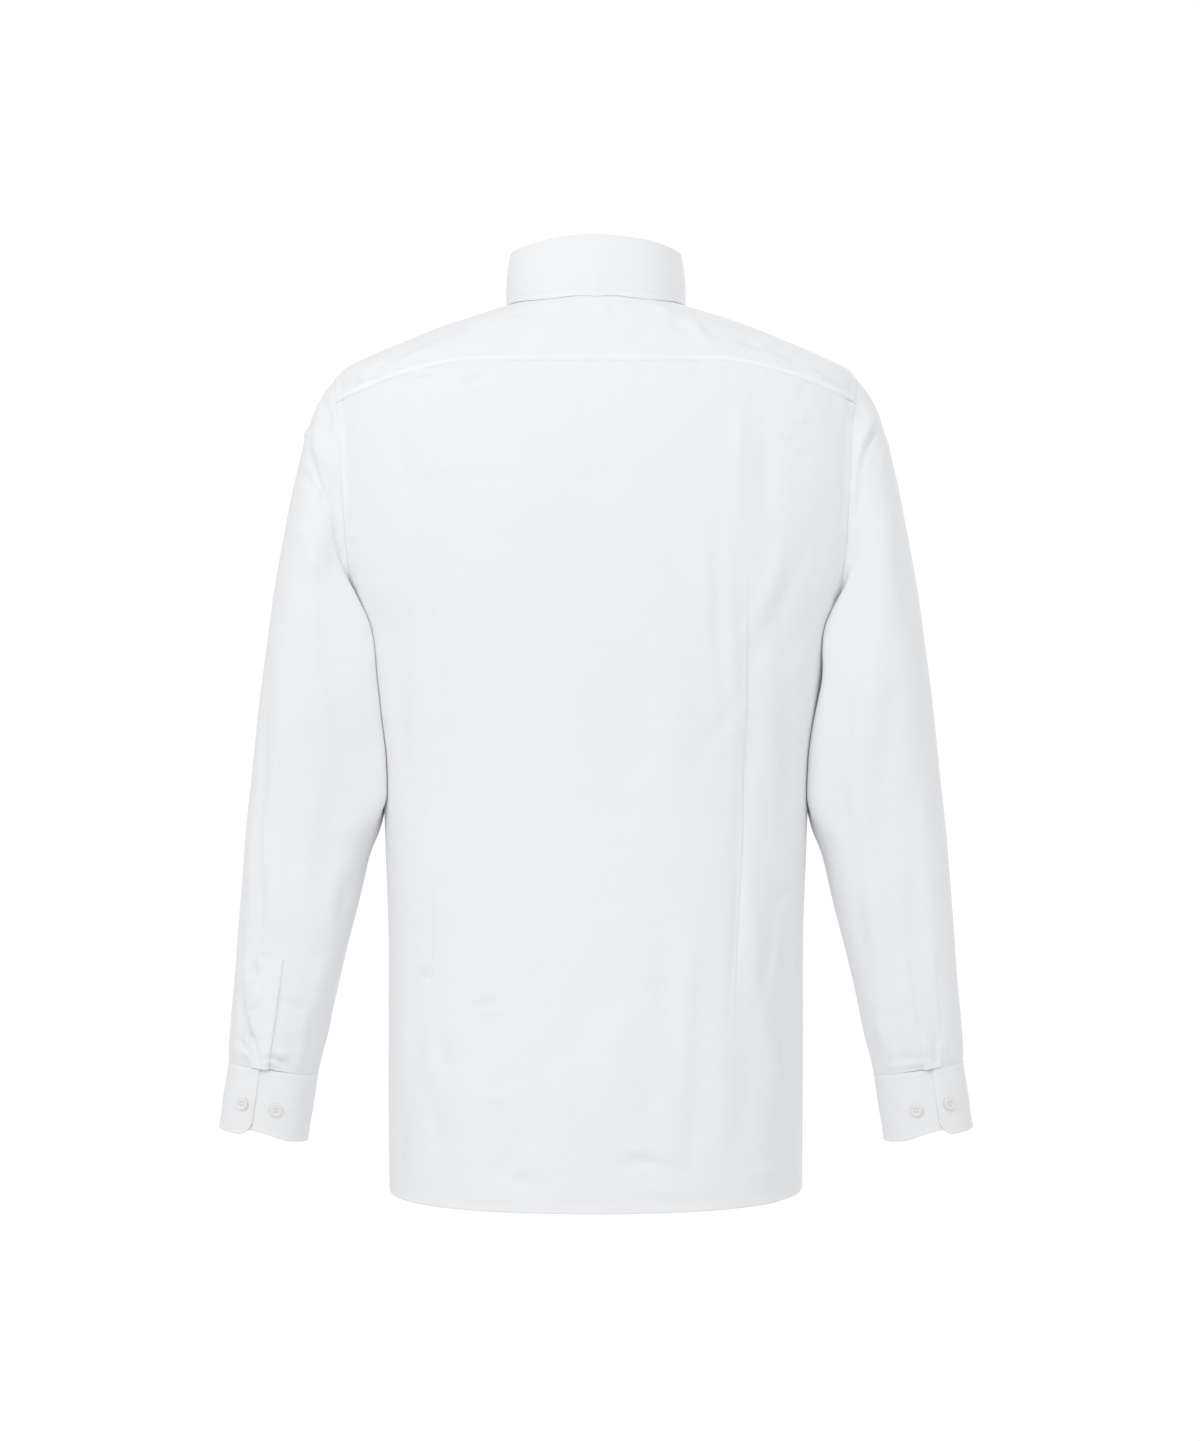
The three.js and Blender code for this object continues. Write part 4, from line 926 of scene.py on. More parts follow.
BACK_CREASES = (
    Crease(191.8, -109.2, -19, 16.3, 4.4, -2.25, 2), Crease(201, -102.5, -21, 13.2, 3.2, 1.5, 2),
    Crease(203.5, -145.2, -9, 14.8, 3.8, -1.95, -2), Crease(211.9, -115.1, -5, 16.3, 2.5, 1.35, 1),
    Crease(103.9, -80.3, -72, 16.2, 2.5, -1.2, 2), Crease(99.2, -87.4, -75, 17.9, 2.5, 0.9, 2),
    Crease(108, -126, 21, 6.6, 3.8, -1.2), Crease(147.4, -78.2, -81, 15.6, 3.2, -1.05, 2),
    Crease(105.5, -158.2, 90, 69.3, 3.2, 0.52), Crease(97.2, -164.9, 90, 77.1, 3.8, -0.52),
    Crease(162.9, -149.4, 3, 46.3, 7.6, -1.35, 3), Crease(141.1, -149.4, 4, 30.9, 6.3, 1.05, -3),
    Crease(142.4, -273.4, 4, 52.5, 4.2, -0.8, 2), Crease(152.4, -291.8, 3, 54, 5.9, 0.8, 3),
    Crease(198.9, -226.9, 16, 38, 6.7, 1.3, -4, 0.3), Crease(190.5, -249.9, 15, 47.9, 7.5, -1.3, -4),
    Crease(181.7, -342.1, 6, 54.2, 7.5, 1.4, -3), Crease(166.7, -363, 4, 57.9, 8.4, -1.2, 3),
    Crease(111.8, -316.9, -4, 77.3, 21.8, 1.5, 6), Crease(88.8, -358.8, -5, 85.1, 20.1, -1.2, -5),
    Crease(69.9, -220.6, -5, 73.4, 25.1, 1.2, 5), Crease(-201.8, -87.4, -68, 12.4, 2.5, -0.7, 2),
    Crease(-196, -99.2, -81, 9.4, 2.5, 1.2), Crease(-167.9, -129.3, -85, 8.9, 2.5, -1.35, 1),
    Crease(-180.1, -142.7, -75, 8.8, 3.2, -1.8, 2), Crease(-175.9, -112.6, -76, 12.7, 3.2, 1.2, 2),
    Crease(-187.2, -213.5, -19, 31.4, 7.5, -2.2, 3), Crease(-194.7, -245.7, -21, 28.9, 5.9, 1.4, 3),
    Crease(-184.3, -296, -16, 28, 6.7, 1.2, 3, -0.3), Crease(-156.2, -273.4, -22, 43.1, 8.4, -1.1, 4),
    Crease(-146.6, -258.3, -21, 41.2, 7.5, 1, 4), Crease(-103, -291.8, 2, 54, 5.9, -1, -2),
    Crease(-112.2, -275.1, 3, 69.4, 5.9, 0.9, -2), Crease(-92.1, -241.6, 4, 69.5, 11.7, 0.9, -3),
    Crease(-105.9, -371.4, -33, 32.1, 6.7, -0.7, 2), Crease(-128.1, -413.2, -5, 65.7, 7.5, -1.1, 2),
    Crease(-149.1, -367.2, 3, 61.7, 8.4, 1.1, -3), Crease(-163.3, -413.2, -1, 65.5, 7.5, -1.2, 2),
    Crease(-144.1, -157.8, 3, 54, 8.8, -1.5, 3), Crease(-120.6, -145.2, -2, 50.1, 6.3, 1.2, -2),
    Crease(-41, -208.1, 3, 69.5, 25.1, 1.1, 5), Crease(-28.5, -383.9, 5, 92.8, 28.5, -1.1, -5),
    Crease(-63.7, -392.3, -2, 84.8, 18.4, 1.2, 4), Crease(91.3, -598.3, -70, 9, 3.4, 0.7, 1),
    Crease(93, -605.5, -84, 11.6, 3.4, -0.6, 1), Crease(86.3, -611.7, -80, 8.6, 2.5, 0.7),
    Crease(143.6, -576.6, -73, 5.2, 3.4, 1.2), Crease(144.9, -584.1, -82, 5.4, 3.4, -1),
    Crease(140.7, -568.2, 0, 46.2, 3.4, -0.8), Crease(130.7, -643.6, 8, 23.3, 5.9, -1.2, -2),
    Crease(141.5, -647.8, 5, 27.1, 5.9, 0.9, -2), Crease(134.4, -714.8, 6, 34.8, 7.5, -1.1, 2),
    Crease(163.3, -635.2, -2, 61.7, 8.4, 1.2, 3), Crease(166.7, -731.5, -2, 27, 5, -1.5),
    Crease(51.1, -570.3, -50, 15, 5.2, 0.3, 2), Crease(13.4, -622.6, -30, 31.1, 13.4, -1.2, 3),
    Crease(-57.8, -597.5, 5, 42.6, 10.1, -1.3, -2), Crease(-45.2, -685.4, 5, 46.4, 10.1, -1.4, 3),
    Crease(-76.2, -605.9, -2, 57.8, 7.5, 1.2, 2), Crease(-15.1, -647.8, -14, 43.7, 11.7, 1.2, -3),
    Crease(-119.8, -534.7, -3, 46.3, 4.2, -1.1, 1), Crease(-132.3, -547.2, 2, 50.1, 5.9, 1, 1),
    Crease(-150.8, -559.8, -7, 38.8, 6.7, -1.8, 3, 0.4), Crease(-160.8, -517.9, -58, 7.3, 4.2, -1.6, 1),
    Crease(-166.7, -574.5, 7, 33, 6.7, -2, -2), Crease(-152.4, -660.3, 7, 54.3, 8.4, 1.6, 3),
    Crease(-167.5, -681.3, 1, 57.8, 6.7, -2.2, 1), Crease(-163, -655, 2, 95, 15, -2.2, 3), Crease(-129, -668.7, -4, 54.1, 10.1, -1.1, 2),
    Crease(-107.2, -668.7, 3, 61.7, 10.9, 1.2, 3), Crease(-82.9, -702.2, -5, 46.4, 7.5, -1, 2),
    Crease(-48.6, -736.1, 83, 28, 5, -1.3, 3), Crease(-37.7, -725.6, 84, 14.7, 3.4, 1, 2),
    Crease(-57.8, -759.6, 82, 19.5, 4.2, 0.9), Crease(63.7, -749.1, 73, 16.1, 5, -1.1),
    Crease(80.4, -682.9, -81, 15.6, 5.9, 0.9, 2), Crease(23.9, -702.2, 7, 46.6, 10.1, 1.1, -3),
    Crease(63.7, -723.1, -30, 31.1, 10.1, -1, 3), Crease(109.7, -698, 4, 50.2, 11.7, 1.1, 3),
    Crease(-141.5, -748.3, -79, 19.6, 4.2, 0.9), Crease(-166, -690, 1, 150, 17, -1.8, 3),
)

YOKE_CREASES = (
    Crease(66.6, -27.9, 81, 9.9, 3.6, 1.43), Crease(19.9, -22.8, 82, 21.7, 5, -1.3, 2),
    Crease(85.7, -45.7, -66, 21.3, 5, 1.56, 2), Crease(-3.4, -36.4, 79, 31.8, 6.5, -1.56, -3),
    Crease(-7.6, -19.4, 27, 8.7, 4.3, 1.17), Crease(128.1, -35.5, -66, 21.3, 5.8, -1.69, 2),
    Crease(157.8, -58.8, -69, 25.1, 4.3, 1.56, 2), Crease(-20.4, -42.7, -69, 16.7, 5, 1.56),
    Crease(-89.1, -39.8, 43, 12.7, 5, 1.95, -2), Crease(-72.9, -31.3, 72, 14.8, 4.3, -1.56, 2),
    Crease(-128.5, -44.8, 66, 19.2, 5, -1.69, 2), Crease(-147.6, -58, 71, 24.8, 3.6, 1.3, -2),
    Crease(-165.4, -57.6, 64, 26.9, 3.6, -1.17, -2), Crease(183.2, -65.2, -59, 18.2, 3.6, -1.17, -2),
    Crease(198.5, -77.1, 59, 9.1, 3.6, 1.3, 1), Crease(-195.1, -77.1, 67, 11.9, 2.9, 1.56, 1),
    Crease(-201, -72, 73, 10.6, 2.9, -1.3, 1), Crease(64.5, -52.1, -80, 15.8, 3.6, -0.91),
    Crease(-58.5, -52.1, 82, 19.7, 4.3, -1.04, 1), Crease(-58.5, -18.5, 59, 13.7, 4.3, 1.3, 1),
)

LEFT_SLEEVE_CREASES = (
    Crease(239.9, -155.6, 20, 22.2, 2.5, -2.7, -2), Crease(236.1, -138.4, 29, 14.8, 5.1, 2.7, -2),
    Crease(232.6, -120.8, 25, 13.1, 5.1, -1.62, -2), Crease(251.5, -118.2, 17, 8.2, 3.7, 1.62),
    Crease(230.1, -103.6, 19, 14.2, 3.7, -2.16, 2), Crease(246.4, -162, 39, 11.2, 5.1, -1.35, 2),
    Crease(233.5, -179.2, 34, 8.5, 2.9, -1.62), Crease(241.6, -225.5, 8, 19.9, 8, 2.16, 3),
    Crease(218.5, -217, 13, 36.5, 3.7, -2.16, -3), Crease(222.8, -230.7, 9, 16.8, 5.9, -1.62, -2),
    Crease(215.5, -238.4, 35, 9.6, 2.9, 1.22, 1), Crease(203.4, -283, 10, 30.5, 2.9, -1.76, -2),
    Crease(206.9, -301.9, 7, 19.1, 4.4, -2.43, -2), Crease(207.7, -312.2, 27, 14.1, 2.9, 1.49, 2),
    Crease(219.8, -314, 68, 8.5, 3.7, 0.34, 1), Crease(231.8, -367.2, 6, 31.7, 12, 1, 3),
    Crease(188.8, -358.6, 8, 23.9, 6.9, -1.6, -2), Crease(199.1, -392.9, 2, 39.5, 7.7, 1.1, 2),
    Crease(209.4, -384.3, 3, 31.6, 6.9, -1.2, 2), Crease(248.1, -332.8, -5, 63.4, 13.7, 1, 4),
    Crease(284.1, -404.9, -3, 75.9, 4.3, -1.6, 2), Crease(272.1, -401.5, -2, 63.2, 6, 1.2, 2),
    Crease(246.4, -440.1, 4, 35.6, 10.3, 1.2, 3), Crease(228.3, -470.2, -9, 48, 10.3, -1.3, 4),
    Crease(260.1, -487.3, -3, 47.4, 7.7, -1, 3), Crease(212.9, -491.6, -13, 28.4, 6, 1.6, 2, 0.4),
    Crease(217.2, -517.4, -11, 36.2, 6, -1.6, 2), Crease(227.9, -556, -6, 31.8, 6.9, 1.3, 2),
    Crease(286.7, -526.8, 0, 36.3, 4.3, -2.2, 1, 0.3), Crease(296.1, -517.4, -1, 35.5, 5.2, 1.6, 1),
    Crease(303.9, -530.3, -2, 39.5, 4.3, -1.8, 1), Crease(278.1, -534.6, 0, 27.6, 6.9, 1.3, 1),
    Crease(292.7, -583.9, 3, 13.8, 3.4, -1.8, 1), Crease(297, -603.2, 3, 27.7, 3.4, 1.5, 2),
    Crease(304.3, -624.7, -3, 23.7, 3.4, -1.8, 1), Crease(292.3, -607.5, -19, 8.4, 3.4, 1.2, 1),
    Crease(291.9, -635.9, 15, 18.8, 2.6, 1.8, 1), Crease(296.1, -638.4, 14, 16.3, 2.6, -1.8, 1),
    Crease(300.4, -655.6, 45, 6.7, 2.6, 1.4, 1), Crease(304.7, -647, 40, 6.2, 2.6, -1.4, 1),
    Crease(258.4, -612.7, 61, 9.9, 3.4, -1, 2), Crease(258.4, -637.6, 18, 12.5, 6.9, 0.9, 2),
    Crease(272.1, -661.6, 52, 9, 2.6, -1.7, 3), Crease(268.7, -654.7, 61, 8.1, 3.4, 1.2, 2),
    Crease(244.6, -633.3, -9, 24, 6, -1.3, 1), Crease(239.5, -594.6, -11, 20.1, 5.2, 1, 1),
)

RIGHT_SLEEVE_CREASES = (
    Crease(232.2, -133.7, 24, 20.7, 3.4, -2, 2), Crease(227.5, -130.3, 21, 22, 6.9, 2.2, 2),
    Crease(221.5, -101.1, 16, 11.5, 4.4, -1.76, -1), Crease(246.4, -139.7, 18, 12.5, 5.2, 1, 1),
    Crease(217.2, -177.5, 7, 19.9, 4.3, 1.4, 1), Crease(224, -178.3, 14, 16.3, 5.2, -1, 1),
    Crease(205.2, -236.7, 16, 31.2, 5.2, 1.8, 3), Crease(213.3, -238.4, 16, 24.6, 5.2, -1.6, 3),
    Crease(245.5, -229.8, -2, 47.4, 12, 1.4, 3), Crease(227.5, -281.3, 3, 47.4, 7.7, -1.2, 2),
    Crease(237.8, -332.8, -2, 63.2, 11.2, 1.2, 3), Crease(264.4, -247, -4, 47.5, 7.7, -1, 2),
    Crease(212.9, -341.4, 2, 55.3, 6.9, -1.3, 2), Crease(266.1, -384.3, -4, 63.4, 9.4, 1.1, 3),
    Crease(246.4, -410.1, 2, 55.3, 8.6, -1.1, 3), Crease(227.5, -427.3, -4, 55.4, 6.9, 1.2, 3),
    Crease(212.9, -444.4, -7, 39.8, 6, -1.7, 2), Crease(280.7, -461.6, -2, 55.3, 6.9, 1.1, 2),
    Crease(238.6, -530.3, -7, 39.8, 7.7, 1.1, 2), Crease(273, -530.3, -2, 55.3, 6.9, -1, 2),
    Crease(228.3, -547.4, -7, 39.8, 6, -1.3, 2), Crease(289.3, -568.9, -3, 43.5, 5.2, 1, 1),
    Crease(254.9, -598.9, -3, 39.6, 7.7, -0.9, 2), Crease(266.1, -624.7, -3, 31.6, 6, 0.9, 1),
    Crease(293.6, -652.6, 0, 13.8, 2.6, -1.2), Crease(298.3, -648.7, -2, 14.2, 3.4, 1),
    Crease(268.7, -665, 87, 15.8, 2.6, 0.5, 1), Crease(268.7, -658.2, 87, 13.4, 2.6, -0.5, 1),
    Crease(246.4, -631.6, -6, 22.2, 5.2, 1, 1), Crease(284.1, -646.2, -11, 12.1, 4.3, 0.9, 1),
)

FRONT_CREASES = (
    Crease(70, -140, -24, 50, 14, 1.5, 5), Crease(110, -190, 36, 56, 13, -1.6, 5),
    Crease(140, -240, 44, 50, 12, 1.8, 5, 0.3), Crease(60, -330, 6, 110, 18, 1.6, 6),
    Crease(118, -380, 12, 90, 16, -1.7, 5), Crease(84, -520, -8, 110, 18, 1.8, 5),
    Crease(46, -600, 4, 110, 14, -1.5, 5), Crease(128, -600, 10, 100, 16, 1.6, 5),
    Crease(150, -470, 16, 70, 12, -1.6, 4), Crease(96, -690, 6, 60, 14, -1.5, 3),
    Crease(40, -230, 84, 26, 6, 0.8, 2), Crease(34, -420, 80, 24, 6, 0.8, 2),
    Crease(36, -660, 84, 26, 6, 0.9, 2),
)


@dataclass
class BackPanel:
    """The back piece from the yoke seam to the hem, with two long darts."""

    rows: int = 214
    columns: int = 222
    wall: float = 0.3
    dart_top: float = -215
    dart_bottom: float = -660
    hem_width: float = 6

    def grid(self) -> ClothGrid:
        """Rows run level from the hem to the underarm, then end on the armholes and rise to the yoke.

        Returns:
            The grid on the form, with darts, creases, puckers, seam bands and hem.
        """
        row = graded(0, 23, self.rows, [(23, 0.25, 4), (0, 0.25, 3)])[:, None]
        dart = PATTERN.dart_column
        spots = [(dart, 0.012, 9), (-dart, 0.012, 9), (1, 0.03, 2.5), (-1, 0.03, 2.5)]
        column = graded(-1, 1, self.columns, spots)[None, :]
        level = mix(PATTERN.hem_side_z, ARMHOLE.underarm_z, np.clip(row / 15, 0, 1))
        drop = 1 - smooth_step(PATTERN.hem_side_z, PATTERN.hem_side_z + 90, level)
        lower_z = level - PATTERN.hem_back_drop * drop * (1 - column ** 2)
        corner = ARMHOLE.back_corner(PATTERN.yoke_corner_z)
        edge = ARMHOLE.point(mix(180, corner, np.clip((row - 15) / 8, 0, 1)))
        lift = smooth_step(ARMHOLE.underarm_z, PATTERN.yoke_corner_z, edge[..., 2])
        seam = PATTERN.yoke_back_seam(column)
        upper_z = edge[..., 2] + lift * (seam[..., 2] - PATTERN.yoke_corner_z)
        above = row > 15
        z = np.where(above, upper_z, lower_z)
        edge_angle = np.where(above, FORM.angle(edge), 0)
        points = FORM.point(PATTERN.back_angle(column, z, edge_angle), z)
        grid = ClothGrid(points, -FORM.normal(points))
        self._shape(grid, column)
        return grid

    def _shape(self, grid: ClothGrid, column: Array) -> None:
        """Adds the relief: creases, darts, puckers along the seams, then the bands and edges."""
        x, z = grid.points[..., 0], grid.points[..., 2]
        top = grid.distance(Edge.LAST_ROW)
        seam_away, seam_along = ARMHOLE.nearest(grid.points)
        side = np.minimum(grid.distance(Edge.FIRST_COLUMN), grid.distance(Edge.LAST_COLUMN))
        calm = smooth_step(0, 9, top) * smooth_step(0, 7, seam_away) * smooth_step(0, 16, side)
        flank = smooth_step(168, 184, np.abs(x)) * smooth_step(-470, -430, z)
        relief = crease_relief(BACK_CREASES, x, z) * calm * (1 - 0.85 * flank)
        length = smooth_step(self.dart_bottom, self.dart_bottom + 130, z)
        length = length * (1 - smooth_step(self.dart_top - 120, self.dart_top, z))
        off = x - np.sign(column) * PATTERN.dart_x(z, column)
        relief -= length * 1.3 * np.exp(-(((off + 3) / 9) ** 2))
        ridge = np.exp(-((off / np.where(off > 0, 3.2, 0.9)) ** 2))
        relief += length * (0.62 * ridge - 0.42 * np.exp(-(((off + 1.9) / 1.1) ** 2)))
        relief += length * 0.3 * ripple(z, 34, 5) * np.exp(-((off / 9) ** 2))
        relief += 0.7 * ripple(x, 23, 1) * np.exp(-((top / 17) ** 2)) * smooth_step(0, 7, top)
        relief += 0.65 * ripple(seam_along, 21, 2) * np.exp(-((seam_away / 17) ** 2)) * smooth_step(0, 9, seam_away)
        hem = grid.distance(Edge.FIRST_ROW)
        relief += 0.3 * ripple(x, 31, 3) * np.exp(-((hem / 12) ** 2))
        grid.raised(relief)
        fade = 0.25 + 0.75 * smooth_step(-215, -165, z)
        grid.band(seam_away, 7.5, 0.14 * fade, fade, seam_along)
        grid.band(hem, self.hem_width, 0.25, 0.35, x)
        grid.roll_edges([Edge.FIRST_ROW], 0.6, 0.25)

    def build(self, finishes: Finishes) -> list[bpy.types.Object]:
        """Makes the cloth and its stitching."""
        grid = self.grid()
        cloth = dressed(grid.build("back_panel_cloth", self.wall), finishes.poplin, Slot.POPLIN, "back_panel")
        hem = grid.line(Edge.FIRST_ROW, self.hem_width - 1)
        sides = [armhole_stitch_line(grid, edge) for edge in (Edge.FIRST_COLUMN, Edge.LAST_COLUMN)]
        sewing = Stitches().joined("back_panel_stitching", [hem, *sides])
        dressed(sewing, finishes.thread, Slot.POPLIN)
        declare_sheet(cloth, grid)
        return [cloth, sewing]


def armhole_stitch_line(grid: ClothGrid, edge: Edge, distance: float = 6.3) -> tuple[Array, Array]:
    """The part above the underarm of the line along a body piece's side edge."""
    path, normals = grid.line(edge, distance)
    above = path[:, 2] > ARMHOLE.underarm_z + 3
    return path[above], normals[above]


@dataclass
class Yoke:
    """The doubled piece across the shoulders, from the neck seam to the back and front seams."""

    rows: int = 100
    columns: int = 310
    wall: float = 0.5
    band_width: float = 7.5

    def outline(self, place: Array) -> tuple[Array, Array]:
        """Points of the outline and their neck angles.

        Args:
            place: From -2 at the right front corner to 2 at the left; the back seam is -1 to 1.

        Returns:
            Outline points, and the neck angle that each is joined to.
        """
        side = np.sign(place)
        share = np.clip(np.abs(place) - 1, 0, 1)
        back = ARMHOLE.back_corner(PATTERN.yoke_corner_z)
        front = ARMHOLE.front_corner(PATTERN.yoke_front_arm_y)
        shoulder = ARMHOLE.point(mix(back, front, share))
        shoulder[..., 0] *= side
        seam = PATTERN.yoke_back_seam(np.clip(place, -1, 1))
        on_back = (np.abs(place) <= 1)[..., None]
        points = np.where(on_back, seam, shoulder)
        back_angle = place * PATTERN.neck_back_corner
        side_angle = side * mix(PATTERN.neck_back_corner, PATTERN.neck_front_corner, share)
        return points, np.where(np.abs(place) <= 1, back_angle, side_angle)

    def grid(self) -> ClothGrid:
        """Straight lines in plan from the neck seam to the outline, set to the form's height."""
        place = graded(-2, 2, self.columns, [(1, 0.03, 3), (-1, 0.03, 3), (2, 0.03, 3), (-2, 0.03, 3)])
        share = graded(0, 1, self.rows, [(1, 0.06, 3)])[:, None]
        outline, angle = self.outline(place)
        neck = neck_point(angle)
        x = mix(neck[None, :, 0], outline[None, :, 0], share)
        y = mix(neck[None, :, 1], outline[None, :, 1], share)
        points = np.stack([x, y, FORM.height(x, y)], axis=-1)
        points[-1] = outline
        grid = ClothGrid(points, -FORM.normal(points))
        self._shape(grid, np.abs(place) <= 1)
        return grid

    def _shape(self, grid: ClothGrid, on_back: Array) -> None:
        """Adds the creases, the felled bands along the seams, and puckers beside them."""
        x, y, z = grid.points[..., 0], grid.points[..., 1], grid.points[..., 2]
        edge = grid.distance(Edge.LAST_ROW)
        seam_away, seam_along = ARMHOLE.nearest(grid.points)
        neck = grid.distance(Edge.FIRST_ROW)
        calm = smooth_step(1, 12, neck) * smooth_step(0, 10, edge) * smooth_step(0, 10, seam_away)
        behind = smooth_step(-10, 10, y)
        relief = crease_relief(YOKE_CREASES, x, z) * calm * behind
        relief += 0.3 * ripple(x, 22, 11) * np.exp(-((edge / 14) ** 2)) * behind
        relief += 0.35 * ripple(seam_along, 25, 12) * np.exp(-((seam_away / 15) ** 2)) * smooth_step(0, 4, seam_away)
        relief += 0.2 * ripple(x + y, 30, 13) * np.exp(-((neck / 14) ** 2))
        grid.raised(relief)
        far = np.where(on_back[None, :], edge, 99)
        strength = 0.4 + 0.6 * smooth_step(50, 150, np.abs(x)) + 0.25 * ripple(x, 61, 14)
        grid.band(far, self.band_width, 0.4, np.clip(strength, 0, 1), x)
        grid.band(seam_away, self.band_width, 0.14, 1, seam_along)
        front = np.minimum(grid.distance(Edge.FIRST_COLUMN), grid.distance(Edge.LAST_COLUMN))
        grid.band(front, self.band_width, 0.4, 1, x)
        grid.raised(-0.4 * (1 - smooth_step(0, 1.8, np.minimum(far, front))))

    def build(self, finishes: Finishes) -> list[bpy.types.Object]:
        """Makes the cloth and its stitching."""
        grid = self.grid()
        cloth = dressed(grid.build("yoke_cloth", self.wall), finishes.poplin, Slot.POPLIN, "yoke")
        place = graded(-2, 2, self.columns, [(1, 0.03, 3), (-1, 0.03, 3), (2, 0.03, 3), (-2, 0.03, 3)])
        runs = []
        for away in (1.6, 6.6):
            path, normals = grid.line(Edge.LAST_ROW, away)
            back = np.abs(place) < 0.985
            runs.append((path[back], normals[back]))
            for edge in (Edge.FIRST_COLUMN, Edge.LAST_COLUMN):
                runs.append(grid.line(edge, away))
        path, normals = grid.line(Edge.LAST_ROW, 6.3)
        for side in (-1, 1):
            on_side = side * place > 1.02
            runs.append((path[on_side], normals[on_side]))
        sewing = dressed(Stitches().joined("yoke_stitching", runs), finishes.thread, Slot.POPLIN)
        declare_sheet(cloth, grid)
        return [cloth, sewing]


class Side(Enum):
    """The wearer's sides, with the sign of x."""

    LEFT = 1
    RIGHT = -1

    @property
    def word(self) -> str:
        """The side as part of a name."""
        return self.name.lower()

    def placed(self, grid: ClothGrid) -> ClothGrid:
        """A left side grid on this side."""
        return grid if self is Side.LEFT else grid.mirror()


@dataclass
class FrontPanel:
    """One front, from its side seam to past centre front; the left closes over the right."""

    side: Side
    rows: int = 144
    columns: int = 104
    wall: float = 0.3
    placket_half: float = 17
    hem_width: float = 6

    def grid(self) -> ClothGrid:
        """Level rows to the underarm, then a blend of armhole, yoke seam, neck and closing edge."""
        column = graded(0, 12, self.columns, [(0, 0.4, 2), (12, 0.3, 3), (10.2, 0.3, 2)])[None, :]
        row = graded(0, 23, self.rows, [(23, 0.25, 3), (0, 0.25, 3)])[:, None]
        corner_angle = ARMHOLE.front_corner(PATTERN.yoke_front_arm_y)
        corner = ARMHOLE.point(corner_angle)
        neck_corner = neck_point(np.array(PATTERN.neck_front_corner))
        share = np.clip(column / 6, 0, 1)
        seam_x, seam_y = mix(corner[0], neck_corner[0], share), mix(corner[1], neck_corner[1], share)
        seam = np.stack([seam_x, seam_y, FORM.height(seam_x, seam_y)], axis=-1)
        angle = mix(PATTERN.neck_front_corner, 180, np.clip((column - 6) / 5, 0, 1))
        angle = np.where(column > 11, mix(180, PATTERN.neck_overlap_angle, column - 11), angle)
        top = np.where((column <= 6)[..., None], seam, neck_point(angle))

        def column_angle(z: Array) -> Array:
            """The form's angle of each column at height z."""
            overlap = FORM.angle(FORM.at_x(-PATTERN.front_overlap, z, -1))
            return np.where(column <= 11, mix(0, -90, column / 11), mix(-90, overlap, column - 11))

        def turn(points: Array) -> Array:
            """Angles from -270 to 90."""
            angles = FORM.angle(points)
            return np.where(angles > 90, angles - 360, angles)

        low_z = mix(PATTERN.hem_side_z, ARMHOLE.underarm_z, np.clip(row / 15, 0, 1))
        low_angle = column_angle(low_z)
        edge = ARMHOLE.point(mix(-180, corner_angle, np.clip((row - 15) / 8, 0, 1)))
        up = (edge[..., 2] - ARMHOLE.underarm_z) / (corner[2] - ARMHOLE.underarm_z)
        end_z = mix(ARMHOLE.underarm_z, top[:, -1:, 2], up)
        end_angle = FORM.angle(FORM.at_x(-PATTERN.front_overlap, end_z, -1))
        across = column / 12
        bottom_angle = column_angle(np.full_like(column, ARMHOLE.underarm_z))
        top_angle = turn(top)
        edge_turn = np.where(edge[..., 2] <= ARMHOLE.underarm_z + 1e-6, 0, turn(edge))

        def blend(bottom: Array, high: Array, edge_value: Array, end_value: Array) -> Array:
            """The Coons blend of four edges, straight between bottom and top."""
            upright = mix(bottom, high, up)
            start_line = mix(bottom[:, :1], high[:, :1], up)
            end_line = mix(bottom[:, -1:], high[:, -1:], up)
            return upright + (1 - across) * (edge_value - start_line) + across * (end_value - end_line)

        flat = np.full_like(column, ARMHOLE.underarm_z)
        high_angle = blend(bottom_angle, top_angle, edge_turn, end_angle)
        high_z = blend(flat, top[..., 2], edge[..., 2], end_z)
        above = row > 15
        points = FORM.point(np.where(above, high_angle, low_angle), np.where(above, high_z, low_z))
        points[-1] = top[0]
        grid = ClothGrid(points, -FORM.normal(points))
        self._shape(grid, column)
        return self.side.placed(grid)

    def _shape(self, grid: ClothGrid, column: Array) -> None:
        """Adds creases, the closing's band, seam bands and the hem, and lays the right front under."""
        x, z = grid.points[..., 0], grid.points[..., 2]
        seam_away, seam_along = ARMHOLE.nearest(grid.points)
        top, hem = grid.distance(Edge.LAST_ROW), grid.distance(Edge.FIRST_ROW)
        calm = smooth_step(0, 14, top) * smooth_step(0, 12, seam_away)
        calm = calm * smooth_step(self.placket_half, self.placket_half + 26, x)
        relief = crease_relief(FRONT_CREASES, x, z + 22 * (self.side is Side.RIGHT)) * calm
        relief += 0.35 * ripple(seam_along, 27, 21) * np.exp(-((seam_away / 16) ** 2)) * smooth_step(0, 4, seam_away)
        relief += 0.25 * ripple(x, 31, 22) * np.exp(-((hem / 12) ** 2)) * smooth_step(18, 40, x)
        if self.side is Side.RIGHT:
            relief -= 2.2 * (1 - smooth_step(22, 48, x))
        grid.raised(relief)
        fade = 0.25 + 0.75 * smooth_step(-215, -165, z)
        grid.band(seam_away, 7.5, 0.14 * fade, fade, seam_along)
        grid.band(hem, self.hem_width, 0.25, 0.35, x)
        from_middle = np.where(column > 8, np.abs(x), 99)
        grid.band(from_middle, self.placket_half, 0.35 * (self.side is Side.LEFT), 0.8)
        grid.roll_edges([Edge.FIRST_ROW, Edge.LAST_COLUMN], 0.6, 0.25)

